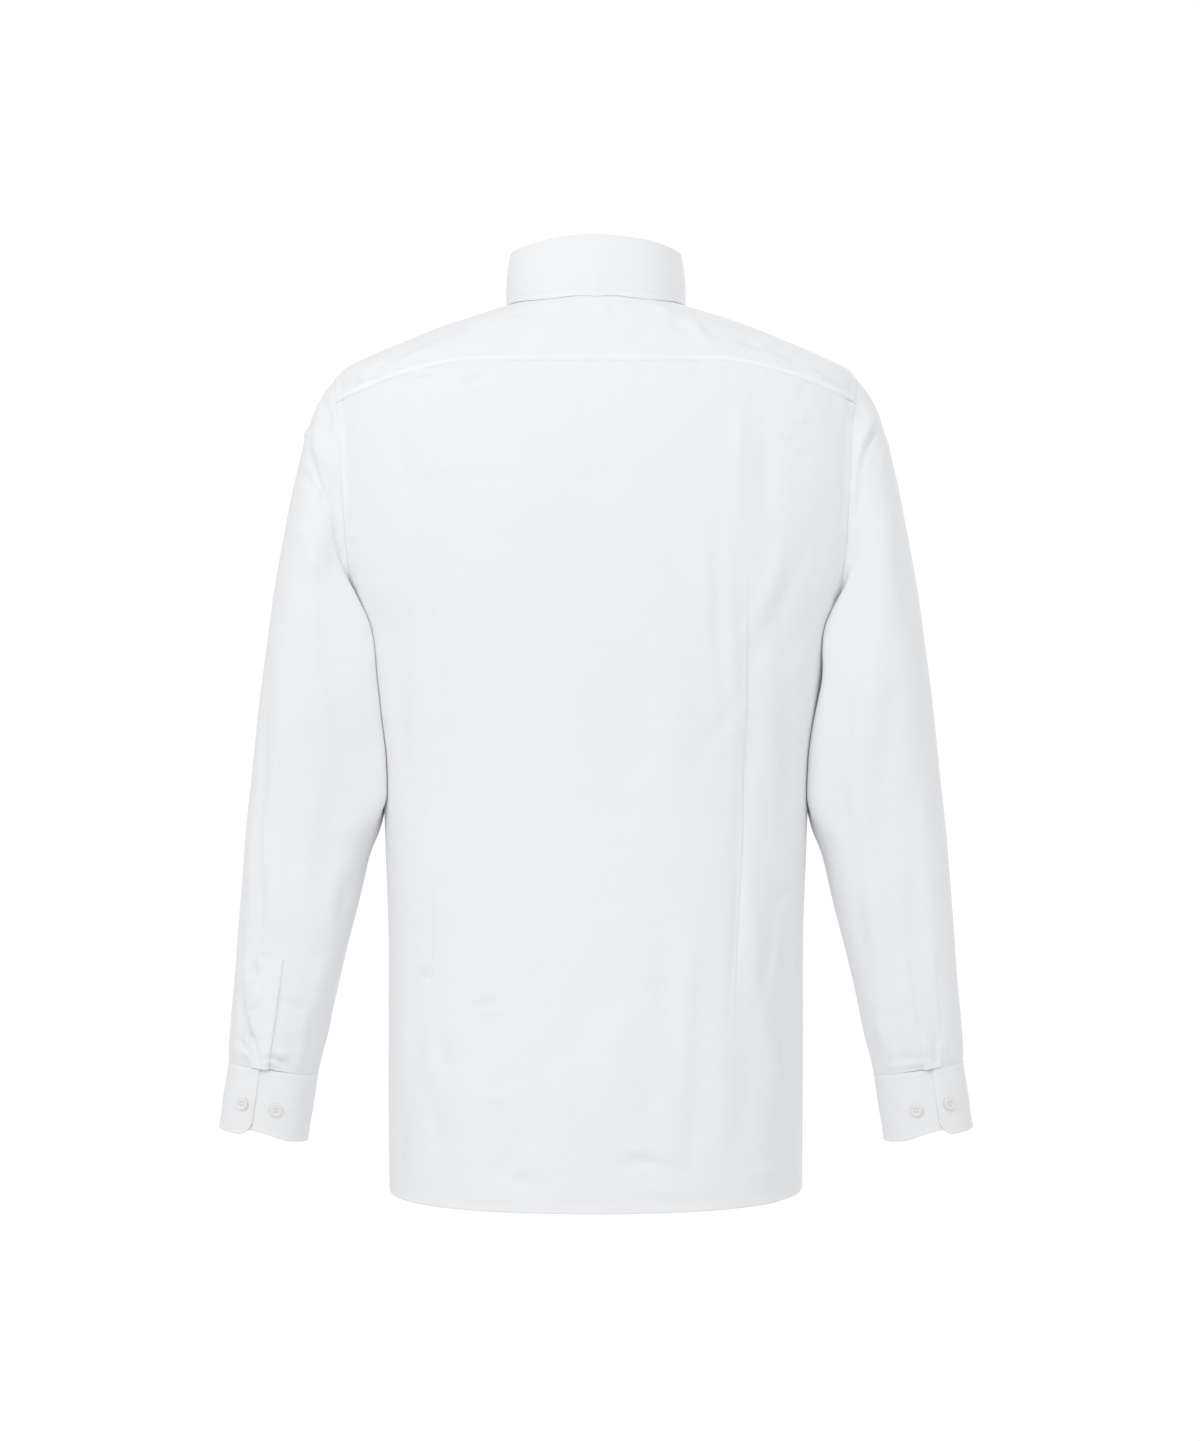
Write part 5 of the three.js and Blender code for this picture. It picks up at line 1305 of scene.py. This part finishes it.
    def build(self, finishes: Finishes) -> list[bpy.types.Object]:
        """Makes the cloth and its stitching."""
        grid = self.grid()
        name = f"{self.side.word}_front"
        cloth = dressed(grid.build(f"{name}_cloth", self.wall), finishes.poplin, Slot.POPLIN, name)
        runs = [grid.line(Edge.FIRST_ROW, self.hem_width - 1), armhole_stitch_line(grid, Edge.FIRST_COLUMN)]
        if self.side is Side.LEFT:
            runs += [grid.line(Edge.LAST_COLUMN, 5), grid.line(Edge.LAST_COLUMN, 28)]
        sewing = dressed(Stitches().joined(f"{name}_stitching", runs), finishes.thread, Slot.POPLIN)
        declare_sheet(cloth, grid)
        return [cloth, sewing]


# Sleeves


@dataclass
class SleeveForm:
    """The left sleeve's form: slanting sections from the armhole to the cuff seam."""

    power: float = 2.15
    fan: float = 4
    last_ring: float = 17

    def base(self, angle: Array, ring: Array) -> Array:
        """A superellipse across each slanting section; 0 degrees is outermost and 90 the back."""
        angle, ring = np.broadcast_arrays(np.asarray(angle, float), np.asarray(ring, float))
        at = {name: SLEEVE_SECTIONS.at(name, ring) for name in SLEEVE_SECTIONS.columns}
        exponent = 2 / self.power
        out = signed_power(np.cos(np.radians(angle)), exponent)
        sine = np.sin(np.radians(angle))
        depth = np.where(sine >= 0, at["back"], at["front"])
        return np.stack([
            (at["inner_x"] + at["outer_x"]) / 2 + out * (at["outer_x"] - at["inner_x"]) / 2,
            at["middle_y"] + depth * signed_power(sine, exponent),
            (at["inner_z"] + at["outer_z"]) / 2 + out * (at["outer_z"] - at["inner_z"]) / 2,
        ], axis=-1)

    def point(self, angle: Array, ring: Array) -> Array:
        """The base, drawn onto the armhole's curve over the first four rings."""
        angle, ring = np.broadcast_arrays(np.asarray(angle, float), np.asarray(ring, float))
        points = self.base(angle, ring)
        hold = ((1 - np.clip(ring / self.fan, 0, 1)) ** 2)[..., None]
        points = points + hold * (ARMHOLE.point(angle) - self.base(angle, np.zeros_like(ring)))
        return points + hold * np.array([0.3, 0, 0])

    def middle(self, ring: Array) -> Array:
        """The middle of each section."""
        return (self.base(0, ring) + self.base(180, ring)) / 2

    def outward(self, angle: Array, ring: Array) -> Array:
        """Outward normals from small steps along and around."""
        ahead = self.point(angle, np.minimum(self.last_ring, ring + 0.05))
        along = ahead - self.point(angle, ring - 0.05)
        around = self.point(angle + 0.5, ring) - self.point(angle - 0.5, ring)
        normal = unit(np.cross(along, around))
        inside = self.middle(ring) - self.point(angle, ring)
        return np.where(((normal * inside).sum(-1) > 0)[..., None], -normal, normal)


SLEEVE = SleeveForm()


@dataclass
class Sleeve:
    """One sleeve from the armhole to the cuff, with its folds and the pleats into the cuff."""

    side: Side
    rows: int = 212
    columns: int = 136
    wall: float = 0.3

    def relief(self, angle: Array, ring: Array, points: Array) -> Array:
        """Creases behind, similar ones before, pleats into the cuff and puckers at both seams."""
        creases = LEFT_SLEEVE_CREASES if self.side is Side.LEFT else RIGHT_SLEEVE_CREASES
        x, z = points[..., 0], points[..., 2]
        turn = np.mod(angle, 360)
        behind = smooth_step(-8, 22, np.where(turn > 270, turn - 360, turn)) * (1 - smooth_step(158, 184, turn))
        before = smooth_step(182, 212, turn) * (1 - smooth_step(330, 352, turn))
        relief = crease_relief(creases, x, z) * behind
        relief += crease_relief(creases, x + 6, z + 17) * before
        off_body = smooth_step(25, 60, np.abs(turn - 180))
        low = smooth_step(4, 7, ring) * (1 - smooth_step(10, 12, ring))
        relief = relief * (1 - low * (1 - off_body) * 0.9)
        ends = smooth_step(0, 0.7, ring) * (1 - smooth_step(SLEEVE.last_ring - 0.5, SLEEVE.last_ring, ring))
        relief = relief * ends
        opening = smooth_step(13.5, 14.4, ring) * np.exp(-(((turn - 90.8) / 2.6) ** 2))
        relief -= (1.2 if self.side is Side.LEFT else 0.3) * opening
        relief += 2.2 * np.sin(np.radians(2 * turn)) ** 2 * smooth_step(4, 8, ring) * (1 - smooth_step(14, 16.5, ring))
        under = (1 - smooth_step(88, 128, turn)) * smooth_step(84, 91, turn)
        relief -= 1.8 * under * smooth_step(15.4, 17, ring)
        fold = smooth_step(13.5, 15.6, ring) * (1 - 0.7 * smooth_step(16.4, 17, ring))
        relief += fold * 0.8 * np.sin(np.radians(turn * 9) + 1.1 * ripple(turn, 90, 31))
        return relief

    def grid(self) -> ClothGrid:
        """Rings from the armhole to the cuff seam."""
        angle = graded(-180, 180, self.columns + 1, [(134, 14, 4)])[:-1][None, :]
        ring = graded(0, SLEEVE.last_ring, self.rows, [(0, 0.12, 4), (17, 0.5, 2)])[:, None]
        points = SLEEVE.point(angle, ring)
        grid = ClothGrid(points, -SLEEVE.outward(angle, ring), wraps=True)
        start, end = grid.distance(Edge.FIRST_ROW), grid.distance(Edge.LAST_ROW)
        _, along = ARMHOLE.nearest(np.broadcast_to(ARMHOLE.point(angle), (1, self.columns, 3)))
        relief = self.relief(angle, ring, points)
        relief = relief + 0.7 * ripple(along, 21, 2) * np.exp(-((start / 17) ** 2)) * smooth_step(0, 4, start)
        flush = 0.1 + 0.75 * np.abs(np.sin(np.radians(angle)))
        relief = relief - 0.05 * (1 - smooth_step(0, 4, start)) - flush * (1 - smooth_step(0, 8, end))
        grid.raised(relief)
        grid.points[0] += np.array([-0.9, 0, 0])
        grid.points[-1] += 0.5 * grid.inward[-1] + np.array([0, 0, -0.4])
        self._rest_on_body(grid, angle, ring)
        grid.flat = self._flat(grid.points)
        return self.side.placed(grid)

    def _flat(self, points: Array) -> Array:
        """The way round at each level, as an angle times the mean half width, and the depth below."""
        x, y, z = points[..., 0], points[..., 1], points[..., 2]
        columns = SLEEVE_SECTIONS.columns
        inner = np.interp(-z, -columns["inner_z"], columns["inner_x"])
        outer = np.interp(-z, -columns["outer_z"], columns["outer_x"])
        depth = np.interp(-z, -(columns["inner_z"] + columns["outer_z"]) / 2, columns["back"])
        half = np.maximum(outer - inner, 20) / 2
        turn = np.arctan2(y / depth, (x - (inner + outer) / 2) / half)
        around = np.unwrap(np.concatenate([turn, turn[:, :1]], axis=1), axis=1)
        around = around - 2 * math.pi * np.round(around[:, self.columns // 2, None] / (2 * math.pi))
        size = (half + depth) / 2
        return np.stack([
            around * np.concatenate([size, size[:, :1]], axis=1), -np.concatenate([z, z[:, :1]], axis=1)
        ], axis=-1)

    def _rest_on_body(self, grid: ClothGrid, angle: Array, ring: Array) -> None:
        """Carries the inner side over until it all but rests on the body; more of it on the left."""
        x, y, z = grid.points[..., 0], grid.points[..., 1], grid.points[..., 2]
        power = FORM.power(z)
        reach = np.clip(1 - (np.abs(y) / FORM.depth(z, y)) ** power, 0, 1) ** (1 / power)
        loose = 3 * np.exp(-(((z + 332) / 26) ** 2)) if self.side is Side.RIGHT else 0
        target = FORM.width(z) * reach + 0.5 + loose
        turn = np.mod(angle, 360)
        start = (96 if self.side is Side.LEFT else 104) + 17 * smooth_step(3, 8, ring)
        share = smooth_step(0, 1, (turn - start) / 30) * (1 - smooth_step(208, 232, turn))
        share = share * smooth_step(0.2, 2.4, ring) * (1 - smooth_step(8.6, 10.4, ring))
        grid.points[..., 0] = np.where(x > target, mix(x, target, share), x)

    def build(self, finishes: Finishes) -> list[bpy.types.Object]:
        """Makes the cloth."""
        grid = self.grid()
        name = f"{self.side.word}_sleeve"
        cloth = dressed(grid.build(f"{name}_cloth", self.wall), finishes.poplin, Slot.POPLIN, name)
        declare_sheet(cloth, grid)
        return [cloth]


@dataclass
class SleevePlacket:
    """The strip over the sleeve's slit, with a boxed top."""

    side: Side
    top_angles: tuple[float, float] = (60, 88.5)
    foot_angles: tuple[float, float] = (66, 88.5)
    top_ring: float = 13.3
    rise: float = 0.75

    def build(self, finishes: Finishes) -> list[bpy.types.Object]:
        """A narrow grid on the sleeve's form, set proud of the sleeve's own cloth."""
        across = graded(0, 1, 30, [(0, 0.08, 3), (1, 0.08, 3)])[None, :]
        ring = graded(self.top_ring, SLEEVE.last_ring, 110, [(self.top_ring, 0.1, 3)])[:, None]
        down = (ring - self.top_ring) / (SLEEVE.last_ring - self.top_ring)
        angle = mix(mix(*self.top_angles, across), mix(*self.foot_angles, across), down)
        points = SLEEVE.point(angle, ring)
        grid = ClothGrid(points, -SLEEVE.outward(angle, ring))
        relief = Sleeve(self.side).relief(angle, ring, points)
        rise = self.rise if self.side is Side.LEFT else 0.45 * self.rise
        grid.raised(relief + rise)
        grid.plies[:] = 0.3 if self.side is Side.LEFT else 0.0
        grid.roll_edges([Edge.FIRST_ROW, Edge.FIRST_COLUMN], 1.4, 0.5 * rise)
        grid.roll_edges([Edge.LAST_COLUMN], 0.7, 0.4 * rise)
        grid = self.side.placed(grid)
        name = f"{self.side.word}_sleeve_placket"
        cloth = dressed(grid.build(f"{name}_cloth", 0.45 * rise), finishes.poplin, Slot.POPLIN, name)
        edges = (Edge.FIRST_ROW, Edge.FIRST_COLUMN, Edge.LAST_COLUMN)
        runs = [grid.line(edge, 1.6) for edge in edges] + [grid.line(Edge.FIRST_ROW, 9)]
        sewing = dressed(Stitches().joined(f"{name}_stitching", runs), finishes.thread, Slot.POPLIN)
        declare_sheet(cloth, grid)
        return [cloth, sewing]


@dataclass
class Cuff:
    """A barrel cuff whose rounded outer end closes over its inner end, with two buttons."""

    side: Side
    half_width: float = 39.3
    half_depth: float = 36.5
    power: float = 2.1
    height: float = 59
    lean: float = 8.7
    top_centre: tuple[float, float, float] = (281, -8, -669.2)
    over_end: float = 78
    under_start: float = 38
    corner_radius: float = 13
    under_lift: float = 5
    wall: float = 2
    buttons: tuple[tuple[str, float, float], ...] = (("outer", 62.5, 32.4), ("inner", 104, 33.4))

    def axes(self) -> tuple[Array, Array]:
        """Unit vectors down and across the leaning cuff."""
        lean = math.radians(self.lean)
        return np.array([math.sin(lean), 0, -math.cos(lean)]), np.array([math.cos(lean), 0, math.sin(lean)])

    def base(self, angle: Array, down: Array) -> Array:
        """A leaning superellipse tube."""
        angle, down = np.broadcast_arrays(np.asarray(angle, float), np.asarray(down, float))
        along, across = self.axes()
        exponent = 2 / self.power
        out = self.half_width * signed_power(np.cos(np.radians(angle)), exponent)
        y = self.half_depth * signed_power(np.sin(np.radians(angle)), exponent)
        points = np.array(self.top_centre) + down[..., None] * along + out[..., None] * across
        return points + y[..., None] * np.array([0, 1, 0])

    def outward(self, angle: Array) -> Array:
        """Outward normals."""
        around = self.base(angle + 0.5, 0) - self.base(angle - 0.5, 0)
        return unit(-np.cross(around, self.axes()[0]))

    def surface(self, angle: Array, down: Array) -> Array:
        """The outer face: the end that lies under is moved in by the wall and a gap."""
        inset = (self.wall + 0.3) * (1 - smooth_step(self.over_end + 4, self.over_end + 50, angle))
        return self.base(angle, down) - self.outward(angle) * inset[..., None]

    def grid(self) -> ClothGrid:
        """Rows from the sleeve seam to the lower edge, which is rounded at both ends."""
        mm_per_degree = math.radians(1) * (self.half_width + self.half_depth) / 2
        over = self.over_end + 360
        ends = [(self.under_start, 6, 4), (over, 6, 4)]
        angle = graded(self.under_start, over, 170, ends)[None, :]
        share = graded(0, 1, 40, [(0, 0.05, 3), (1, 0.05, 3)])[:, None]
        from_end = np.minimum(angle - self.under_start, over - angle) * mm_per_degree
        rest = np.clip(self.corner_radius - from_end, 0, self.corner_radius)
        rise = self.corner_radius - np.sqrt(self.corner_radius ** 2 - rest ** 2)
        skew = self.under_lift * (1 - smooth_step(self.over_end, self.over_end + 55, angle))
        down = mix(0.15, self.height - rise - skew, share)
        points = self.surface(angle, down)
        grid = ClothGrid(points, -np.broadcast_to(self.outward(angle), points.shape))
        edges = (Edge.FIRST_ROW, Edge.LAST_ROW, Edge.FIRST_COLUMN, Edge.LAST_COLUMN)
        away = np.minimum.reduce([grid.distance(edge) for edge in edges])
        grid.plies = 0.1 + 0.6 * (1 - smooth_step(3.5, 6, away))
        groove = np.exp(-(((away - 5) / 0.7) ** 2))
        relief = -0.22 * groove + 0.25 * ripple(angle, 21, 41) * (1 - smooth_step(0, 9, grid.distance(Edge.FIRST_ROW)))
        relief = relief + 0.35 * ripple(angle * 0.7 + down, 44, 42) * smooth_step(0, 12, away)
        grid.raised(relief)
        grid.roll_edges(edges[1:3], 1.0, 0.7)
        grid.roll_edges(edges[3:], 4.6, 1.5)
        grid.roll_edges(edges[:1], 0.8, 0.25)
        return self.side.placed(grid)

    def build(self, finishes: Finishes) -> list[bpy.types.Object]:
        """Makes the cuff, its edge stitching and its buttons."""
        grid = self.grid()
        name = f"{self.side.word}_cuff"
        cloth = dressed(grid.build(f"{name}_cloth", self.wall - 0.2), finishes.interlined, Slot.INTERLINED, name)
        edges = (Edge.FIRST_ROW, Edge.LAST_ROW, Edge.FIRST_COLUMN, Edge.LAST_COLUMN)
        runs = [trimmed(grid.line(edge, 5), 5) for edge in edges]
        sewing = dressed(Stitches().joined(f"{name}_stitching", runs), finishes.thread, Slot.INTERLINED)
        declare_sheet(cloth, grid)
        made = [cloth, sewing]
        for word, angle, down in self.buttons:
            turn = angle + 360 if angle < self.over_end else angle
            flip = np.array([self.side.value, 1, 1])
            place = self.surface(np.array(float(turn)), np.array(float(down))) * flip
            made += Button(f"{name}_button_{word}", place, self.outward(np.array(float(turn))) * flip).build(finishes)
        return made


def trimmed(line: tuple[Array, Array], distance: float) -> tuple[Array, Array]:
    """The line without its first and last few millimetres."""
    path, normals = line
    along = np.concatenate([[0], np.cumsum(np.linalg.norm(np.diff(path, axis=0), axis=1))])
    keep = (along >= distance) & (along <= along[-1] - distance)
    return path[keep], normals[keep]


@dataclass
class Button:
    """A four-hole shirt button with a raised rim, sewn on with two bars of thread."""

    node: str
    place: Array
    outward: Array
    radius: float = 5.5
    thickness: float = 2.4
    hole_radius: float = 0.62
    hole_offset: float = 1.25

    def turned(self, local: Array) -> Array:
        """Points from the button's own frame, whose Z is its axis, to the part's."""
        up = unit(self.outward)
        side = unit(np.cross(np.array([0, 0, 1.0]), up))
        other = np.cross(up, side)
        base = self.place + up * 0.3
        return base + local[..., :1] * side + local[..., 1:2] * other + local[..., 2:] * up

    def disc(self) -> tuple[Array, Array]:
        """A turned profile from the middle of the back round the rim to the middle of the face.

        Returns:
            Vertices and quads; the face is dished, and sinks at four holes.
        """
        profile = np.array([
            (0, 0), (3.6, 0), (4.4, 0), (4.95, 0.3), (5.35, 0.8), (5.5, 1.25), (5.42, 1.75), (5.1, 2.2),
            (4.7, 2.38), (4.3, 2.36), (3.95, 2.24), (3.6, 2.1), (3.2, 2.02),
        ])
        scale = np.array([self.radius / 5.5, self.thickness / 2.4])
        inner = np.linspace(3.1, 0, 22)
        radius = np.concatenate([profile[:, 0], inner]) * scale[0]
        height = np.concatenate([profile[:, 1], np.full(22, 2.0)]) * scale[1]
        turn = np.linspace(0, 2 * math.pi, 49)[:-1]
        x = radius[:, None] * np.cos(turn)
        y = radius[:, None] * np.sin(turn)
        z = np.broadcast_to(height[:, None], x.shape).copy()
        on_face = np.arange(len(radius))[:, None] >= len(profile)
        for across in (-1, 1):
            for along in (-1, 1):
                away = np.hypot(x - across * self.hole_offset, y - along * self.hole_offset)
                z -= on_face * 0.7 * (1 - smooth_step(self.hole_radius * 0.8, self.hole_radius * 1.15, away))
        rows, count = x.shape
        r, c = np.meshgrid(np.arange(rows - 1), np.arange(count), indexing="ij")
        n = (c + 1) % count
        quads = np.stack([r * count + c, r * count + n, (r + 1) * count + n, (r + 1) * count + c], -1)
        return np.stack([x, y, z], axis=-1).reshape(-1, 3), quads.reshape(-1, 4)

    def build(self, finishes: Finishes) -> list[bpy.types.Object]:
        """Makes the button and its thread."""
        vertices, faces = self.disc()
        made = mesh_object(f"{self.node}_resin", self.turned(vertices), faces)
        dressed(made, finishes.pearl, Slot.PEARL, self.node)
        bars = Stitches(length=3.4, gap=0, half_width=0.32, half_height=0.22)
        runs = []
        for across in (-1, 1):
            local = np.array([[across * self.hole_offset, -1.7, 2.0], [across * self.hole_offset, 1.7, 2.0]])
            runs.append((self.turned(local), np.stack([unit(self.outward)] * 2)))
        thread = dressed(bars.joined(f"{self.node}_thread", runs), finishes.thread, Slot.PEARL)
        return [made, thread]


# Collar


@dataclass
class Collar:
    """The stand round the neck and the leaf turned down over it."""

    stand_heights: tuple[float, float, float] = (42, 38, 31)
    wall: float = 2
    roll_radius: float = 3.2
    end_angle: float = 176
    bulge: float = 1.6
    seam_gap: float = 0.9

    def stand_height(self, angle: Array) -> Array:
        """From the back's height through the side's to the front's."""
        back, side, front = self.stand_heights
        turn = np.minimum(180, np.abs(angle))
        height = mix(back, side, smooth_step(0, 90, turn))
        return mix(height, front, smooth_step(90, 180, turn))

    def stand_point(self, angle: Array, share: Array) -> Array:
        """From the neck seam at share 0 to the stand's top at 1; the right end lies under."""
        angle, share = np.broadcast_arrays(np.asarray(angle, float), np.asarray(share, float))
        foot_x, foot_y = NECK.plan(angle)
        head_x, head_y = STAND_TOP.plan(angle)
        foot_z = FORM.height(foot_x, foot_y) + 0.3
        points = np.stack([
            mix(foot_x, head_x, share), mix(foot_y, head_y, share),
            foot_z + self.stand_height(angle) * share,
        ], axis=-1)
        inset = (self.wall + 0.3) * smooth_step(140, 164, -angle)
        return points - NECK.outward(angle) * inset[..., None]

    def stand_grid(self) -> ClothGrid:
        """The stand from end to end past centre front."""
        last = PATTERN.neck_overlap_angle
        angle = graded(-last, last, 260, [(-last, 4, 4), (last, 4, 4)])[None, :]
        share = graded(0, 1, 24, [(0, 0.05, 2), (1, 0.05, 2)])[:, None]
        points = self.stand_point(angle, share)
        grid = ClothGrid(points, -np.broadcast_to(NECK.outward(angle), points.shape))
        grid.plies[:] = 0.8
        edges = (Edge.FIRST_ROW, Edge.LAST_ROW, Edge.FIRST_COLUMN, Edge.LAST_COLUMN)
        grid.roll_edges(edges, 0.8, 0.5)
        return grid

    def leaf_grid(self) -> ClothGrid:
        """Lines from the seam on the stand over a round roll and down to the leaf's edge."""
        turn = graded(-self.end_angle, self.end_angle, 300, [(-176, 2, 5), (176, 2, 5)])
        side, angle = np.sign(turn), np.abs(turn)
        share = angle / self.end_angle
        outward = STAND_TOP.outward(angle)
        head_x, head_y = STAND_TOP.plan(angle)
        top = self.stand_point(angle, 1)[:, 2] + self.seam_gap
        start = np.stack([head_x, head_y, top], axis=-1) - outward * self.wall
        up = np.array([0, 0, 1.0])
        roll = np.radians(np.linspace(180, 0, 17))[:, None, None]
        turned = start + outward * self.roll_radius * (1 + np.cos(roll))
        turned = turned + up * (1.5 + self.roll_radius * np.sin(roll))
        turned_in = -outward * np.cos(roll) - up * np.sin(roll)
        edge_x, edge_y = LEAF_EDGE.at("x", share), LEAF_EDGE.at("y", share)
        plan_x, plan_y = edge_x - outward[:, 0] * self.wall, edge_y - outward[:, 1] * self.wall
        under = FORM.height(edge_x, edge_y)
        edge = np.stack([edge_x, edge_y, under + 0.2 * LEAF_EDGE.at("lift", share)], axis=-1)
        slope = (FORM.height(plan_x, plan_y) - under)[:, None] / self.wall
        fall = graded(0, 1, 46, [(1, 0.04, 4)])[1:, None, None]
        falling = mix(turned[-1], edge, fall)
        falling = falling + outward * self.bulge * np.sin(np.pi * fall) * (1 - 0.4 * share)[:, None]
        points = np.concatenate([start[None], turned, falling])
        tilt = smooth_step(0.8, 1, fall) * slope
        inward = np.concatenate([outward[None], turned_in, unit(tilt * up - outward)])
        flip = np.where(side[:, None] < 0, np.array([-1, 1, 1]), 1)
        grid = ClothGrid(points * flip, inward * flip)
        edge_away = grid.distance(Edge.LAST_ROW)
        ends = np.minimum(grid.distance(Edge.FIRST_COLUMN), grid.distance(Edge.LAST_COLUMN))
        away = np.minimum(edge_away, ends)
        grid.plies = 0.6 + 0.4 * (1 - smooth_step(4.5, 6.5, away))
        waves = 0.3 * ripple(turn[None, :], 60, 51) * smooth_step(0, 20, edge_away)
        waves = waves + 0.22 * ripple(turn[None, :], 17, 52) * (1 - smooth_step(0, 8, away))
        grid.raised(waves - 0.25 * np.exp(-(((away - 5.5) / 0.8) ** 2)))
        grid.roll_edges((Edge.LAST_ROW, Edge.FIRST_COLUMN, Edge.LAST_COLUMN), 1.0, 0.7)
        return grid

    def build(self, finishes: Finishes) -> list[bpy.types.Object]:
        """Makes the stand, the leaf, their stitching and the collar button."""
        stand = self.stand_grid()
        band = dressed(stand.build("collar_stand_cloth", 1.8), finishes.interlined, Slot.INTERLINED, "collar_stand")
        runs = [trimmed(stand.line(Edge.FIRST_ROW, 2), 2)]
        band_sewing = dressed(Stitches().joined("collar_stand_stitching", runs), finishes.thread, Slot.INTERLINED)
        declare_sheet(band, stand)
        leaf = self.leaf_grid()
        fall = dressed(leaf.build("collar_leaf_cloth", 1.8), finishes.interlined, Slot.INTERLINED, "collar_leaf")
        runs = [trimmed(leaf.line(Edge.LAST_ROW, 5.5), 5.5)]
        runs += [trimmed(leaf.line(edge, 5.5), 6) for edge in (Edge.FIRST_COLUMN, Edge.LAST_COLUMN)]
        leaf_sewing = dressed(Stitches().joined("collar_leaf_stitching", runs), finishes.thread, Slot.INTERLINED)
        declare_sheet(fall, leaf)
        slope = unit(self.stand_point(180.0, 1.0) - self.stand_point(180.0, 0.0))
        outward = np.array([0, -slope[2], slope[1]])
        place = self.stand_point(180.0, 0.45)
        button = Button("collar_button", place, outward).build(finishes)
        return [band, band_sewing, fall, leaf_sewing, *button]


@dataclass
class FrontButtons:
    """The row of buttons down centre front."""

    top_z: float = -112
    pitch: float = 92
    count: int = 6

    def build(self, finishes: Finishes) -> list[bpy.types.Object]:
        """Sets each button on the left front."""
        made = []
        for k in range(self.count):
            place = FORM.at_x(np.array(0.0), np.array(self.top_z - k * self.pitch), -1)
            made += Button(f"front_button_{k + 1}", place, FORM.normal(place)).build(finishes)
        return made


# Studio


@dataclass
class Studio:
    """A bright white surround, soft lights and the camera behind the shirt."""

    camera_y: float = 3.0
    lens: float = 86.15
    eye: tuple[float, float] = (-0.0035, -0.3676)
    floor_z: float = -1.5
    radius: float = 7.0

    def surround(self) -> None:
        """A pale floor that curves up into round white walls and a ceiling."""
        shader = Shader("pale_studio_paper")
        glow = shader.add("ShaderNodeEmission", {"Color": linear_colour("#FFFFFF"), "Strength": 1.02})
        material = shader.finish(glow)
        turn = np.linspace(0, math.pi, 49)
        radius = self.radius * np.sin(turn) ** 0.5
        height = np.maximum(-self.radius * np.cos(turn), self.floor_z)
        around = np.linspace(0, 2 * math.pi, 97)[:-1]
        points = np.stack([
            radius[:, None] * np.cos(around), radius[:, None] * np.sin(around),
            np.broadcast_to(height[:, None], (49, 96)),
        ], axis=-1) / MM
        r, c = np.meshgrid(np.arange(48), np.arange(96), indexing="ij")
        n = (c + 1) % 96
        quads = np.stack([r * 96 + c, (r + 1) * 96 + c, (r + 1) * 96 + n, r * 96 + n], -1).reshape(-1, 4)
        paper = mesh_object("studio_paper", points.reshape(-1, 3), quads)
        paper.data.materials.append(material)
        paper.visible_diffuse = False
        paper.visible_glossy = False
        paper.visible_transmission = False
        paper.visible_shadow = False

    def light(self, name: str, place: tuple[float, float, float], size: float, power: float) -> None:
        """One soft square light aimed at the middle of the shirt."""
        data = bpy.data.lights.new(name, "AREA")
        data.shape, data.size, data.energy = "SQUARE", size, power
        lamp = bpy.data.objects.new(name, data)
        lamp.location = place
        aim = Vector((0, 0, -0.38)) - Vector(place)
        lamp.rotation_euler = aim.to_track_quat("-Z", "Y").to_euler()
        bpy.context.scene.collection.objects.link(lamp)

    def build(self) -> None:
        """Sets the surround, the lights, the even sky light and the camera."""
        self.surround()
        self.light("key_light", (1.8, 2.4, 1.15), 1.0, 19.5)
        self.light("fill_light", (-1.0, 2.7, 1.15), 1.6, 10.5)
        self.light("front_light", (-1.2, -3.0, 0.8), 2.2, 26)
        world = bpy.data.worlds.new("studio_air")
        world.use_nodes = True
        world.node_tree.nodes["Background"].inputs["Color"].default_value = linear_colour("#FFFFFF")
        world.node_tree.nodes["Background"].inputs["Strength"].default_value = 0.785
        bpy.context.scene.world = world
        data = bpy.data.cameras.new("camera")
        data.lens, data.sensor_width = self.lens, 36
        data.clip_start, data.clip_end = 0.05, 50
        camera = bpy.data.objects.new("camera", data)
        camera.location = (self.eye[0], self.camera_y, self.eye[1])
        camera.rotation_euler = (math.pi / 2, 0, math.pi)
        bpy.context.scene.collection.objects.link(camera)
        bpy.context.scene.camera = camera
        bpy.context.scene.view_settings.view_transform = "Standard"


def main() -> None:
    """Builds the shirt piece by piece, then the studio."""
    logging.basicConfig(level=logging.INFO, format="%(name)s: %(message)s")
    finishes = Finishes.made()
    parts: list[object] = [BackPanel(), Yoke()]
    for side in Side:
        parts += [FrontPanel(side), Sleeve(side), SleevePlacket(side), Cuff(side)]
    parts += [Collar(), FrontButtons()]
    total = 0
    for part in parts:
        for piece in part.build(finishes):
            triangles = sum(len(face.vertices) - 2 for face in piece.data.polygons)
            total += triangles
            log.info("%s: %d triangles", piece.name, triangles)
    log.info("%d triangles in all", total)
    Studio().build()


if __name__ == "__main__":
    main()
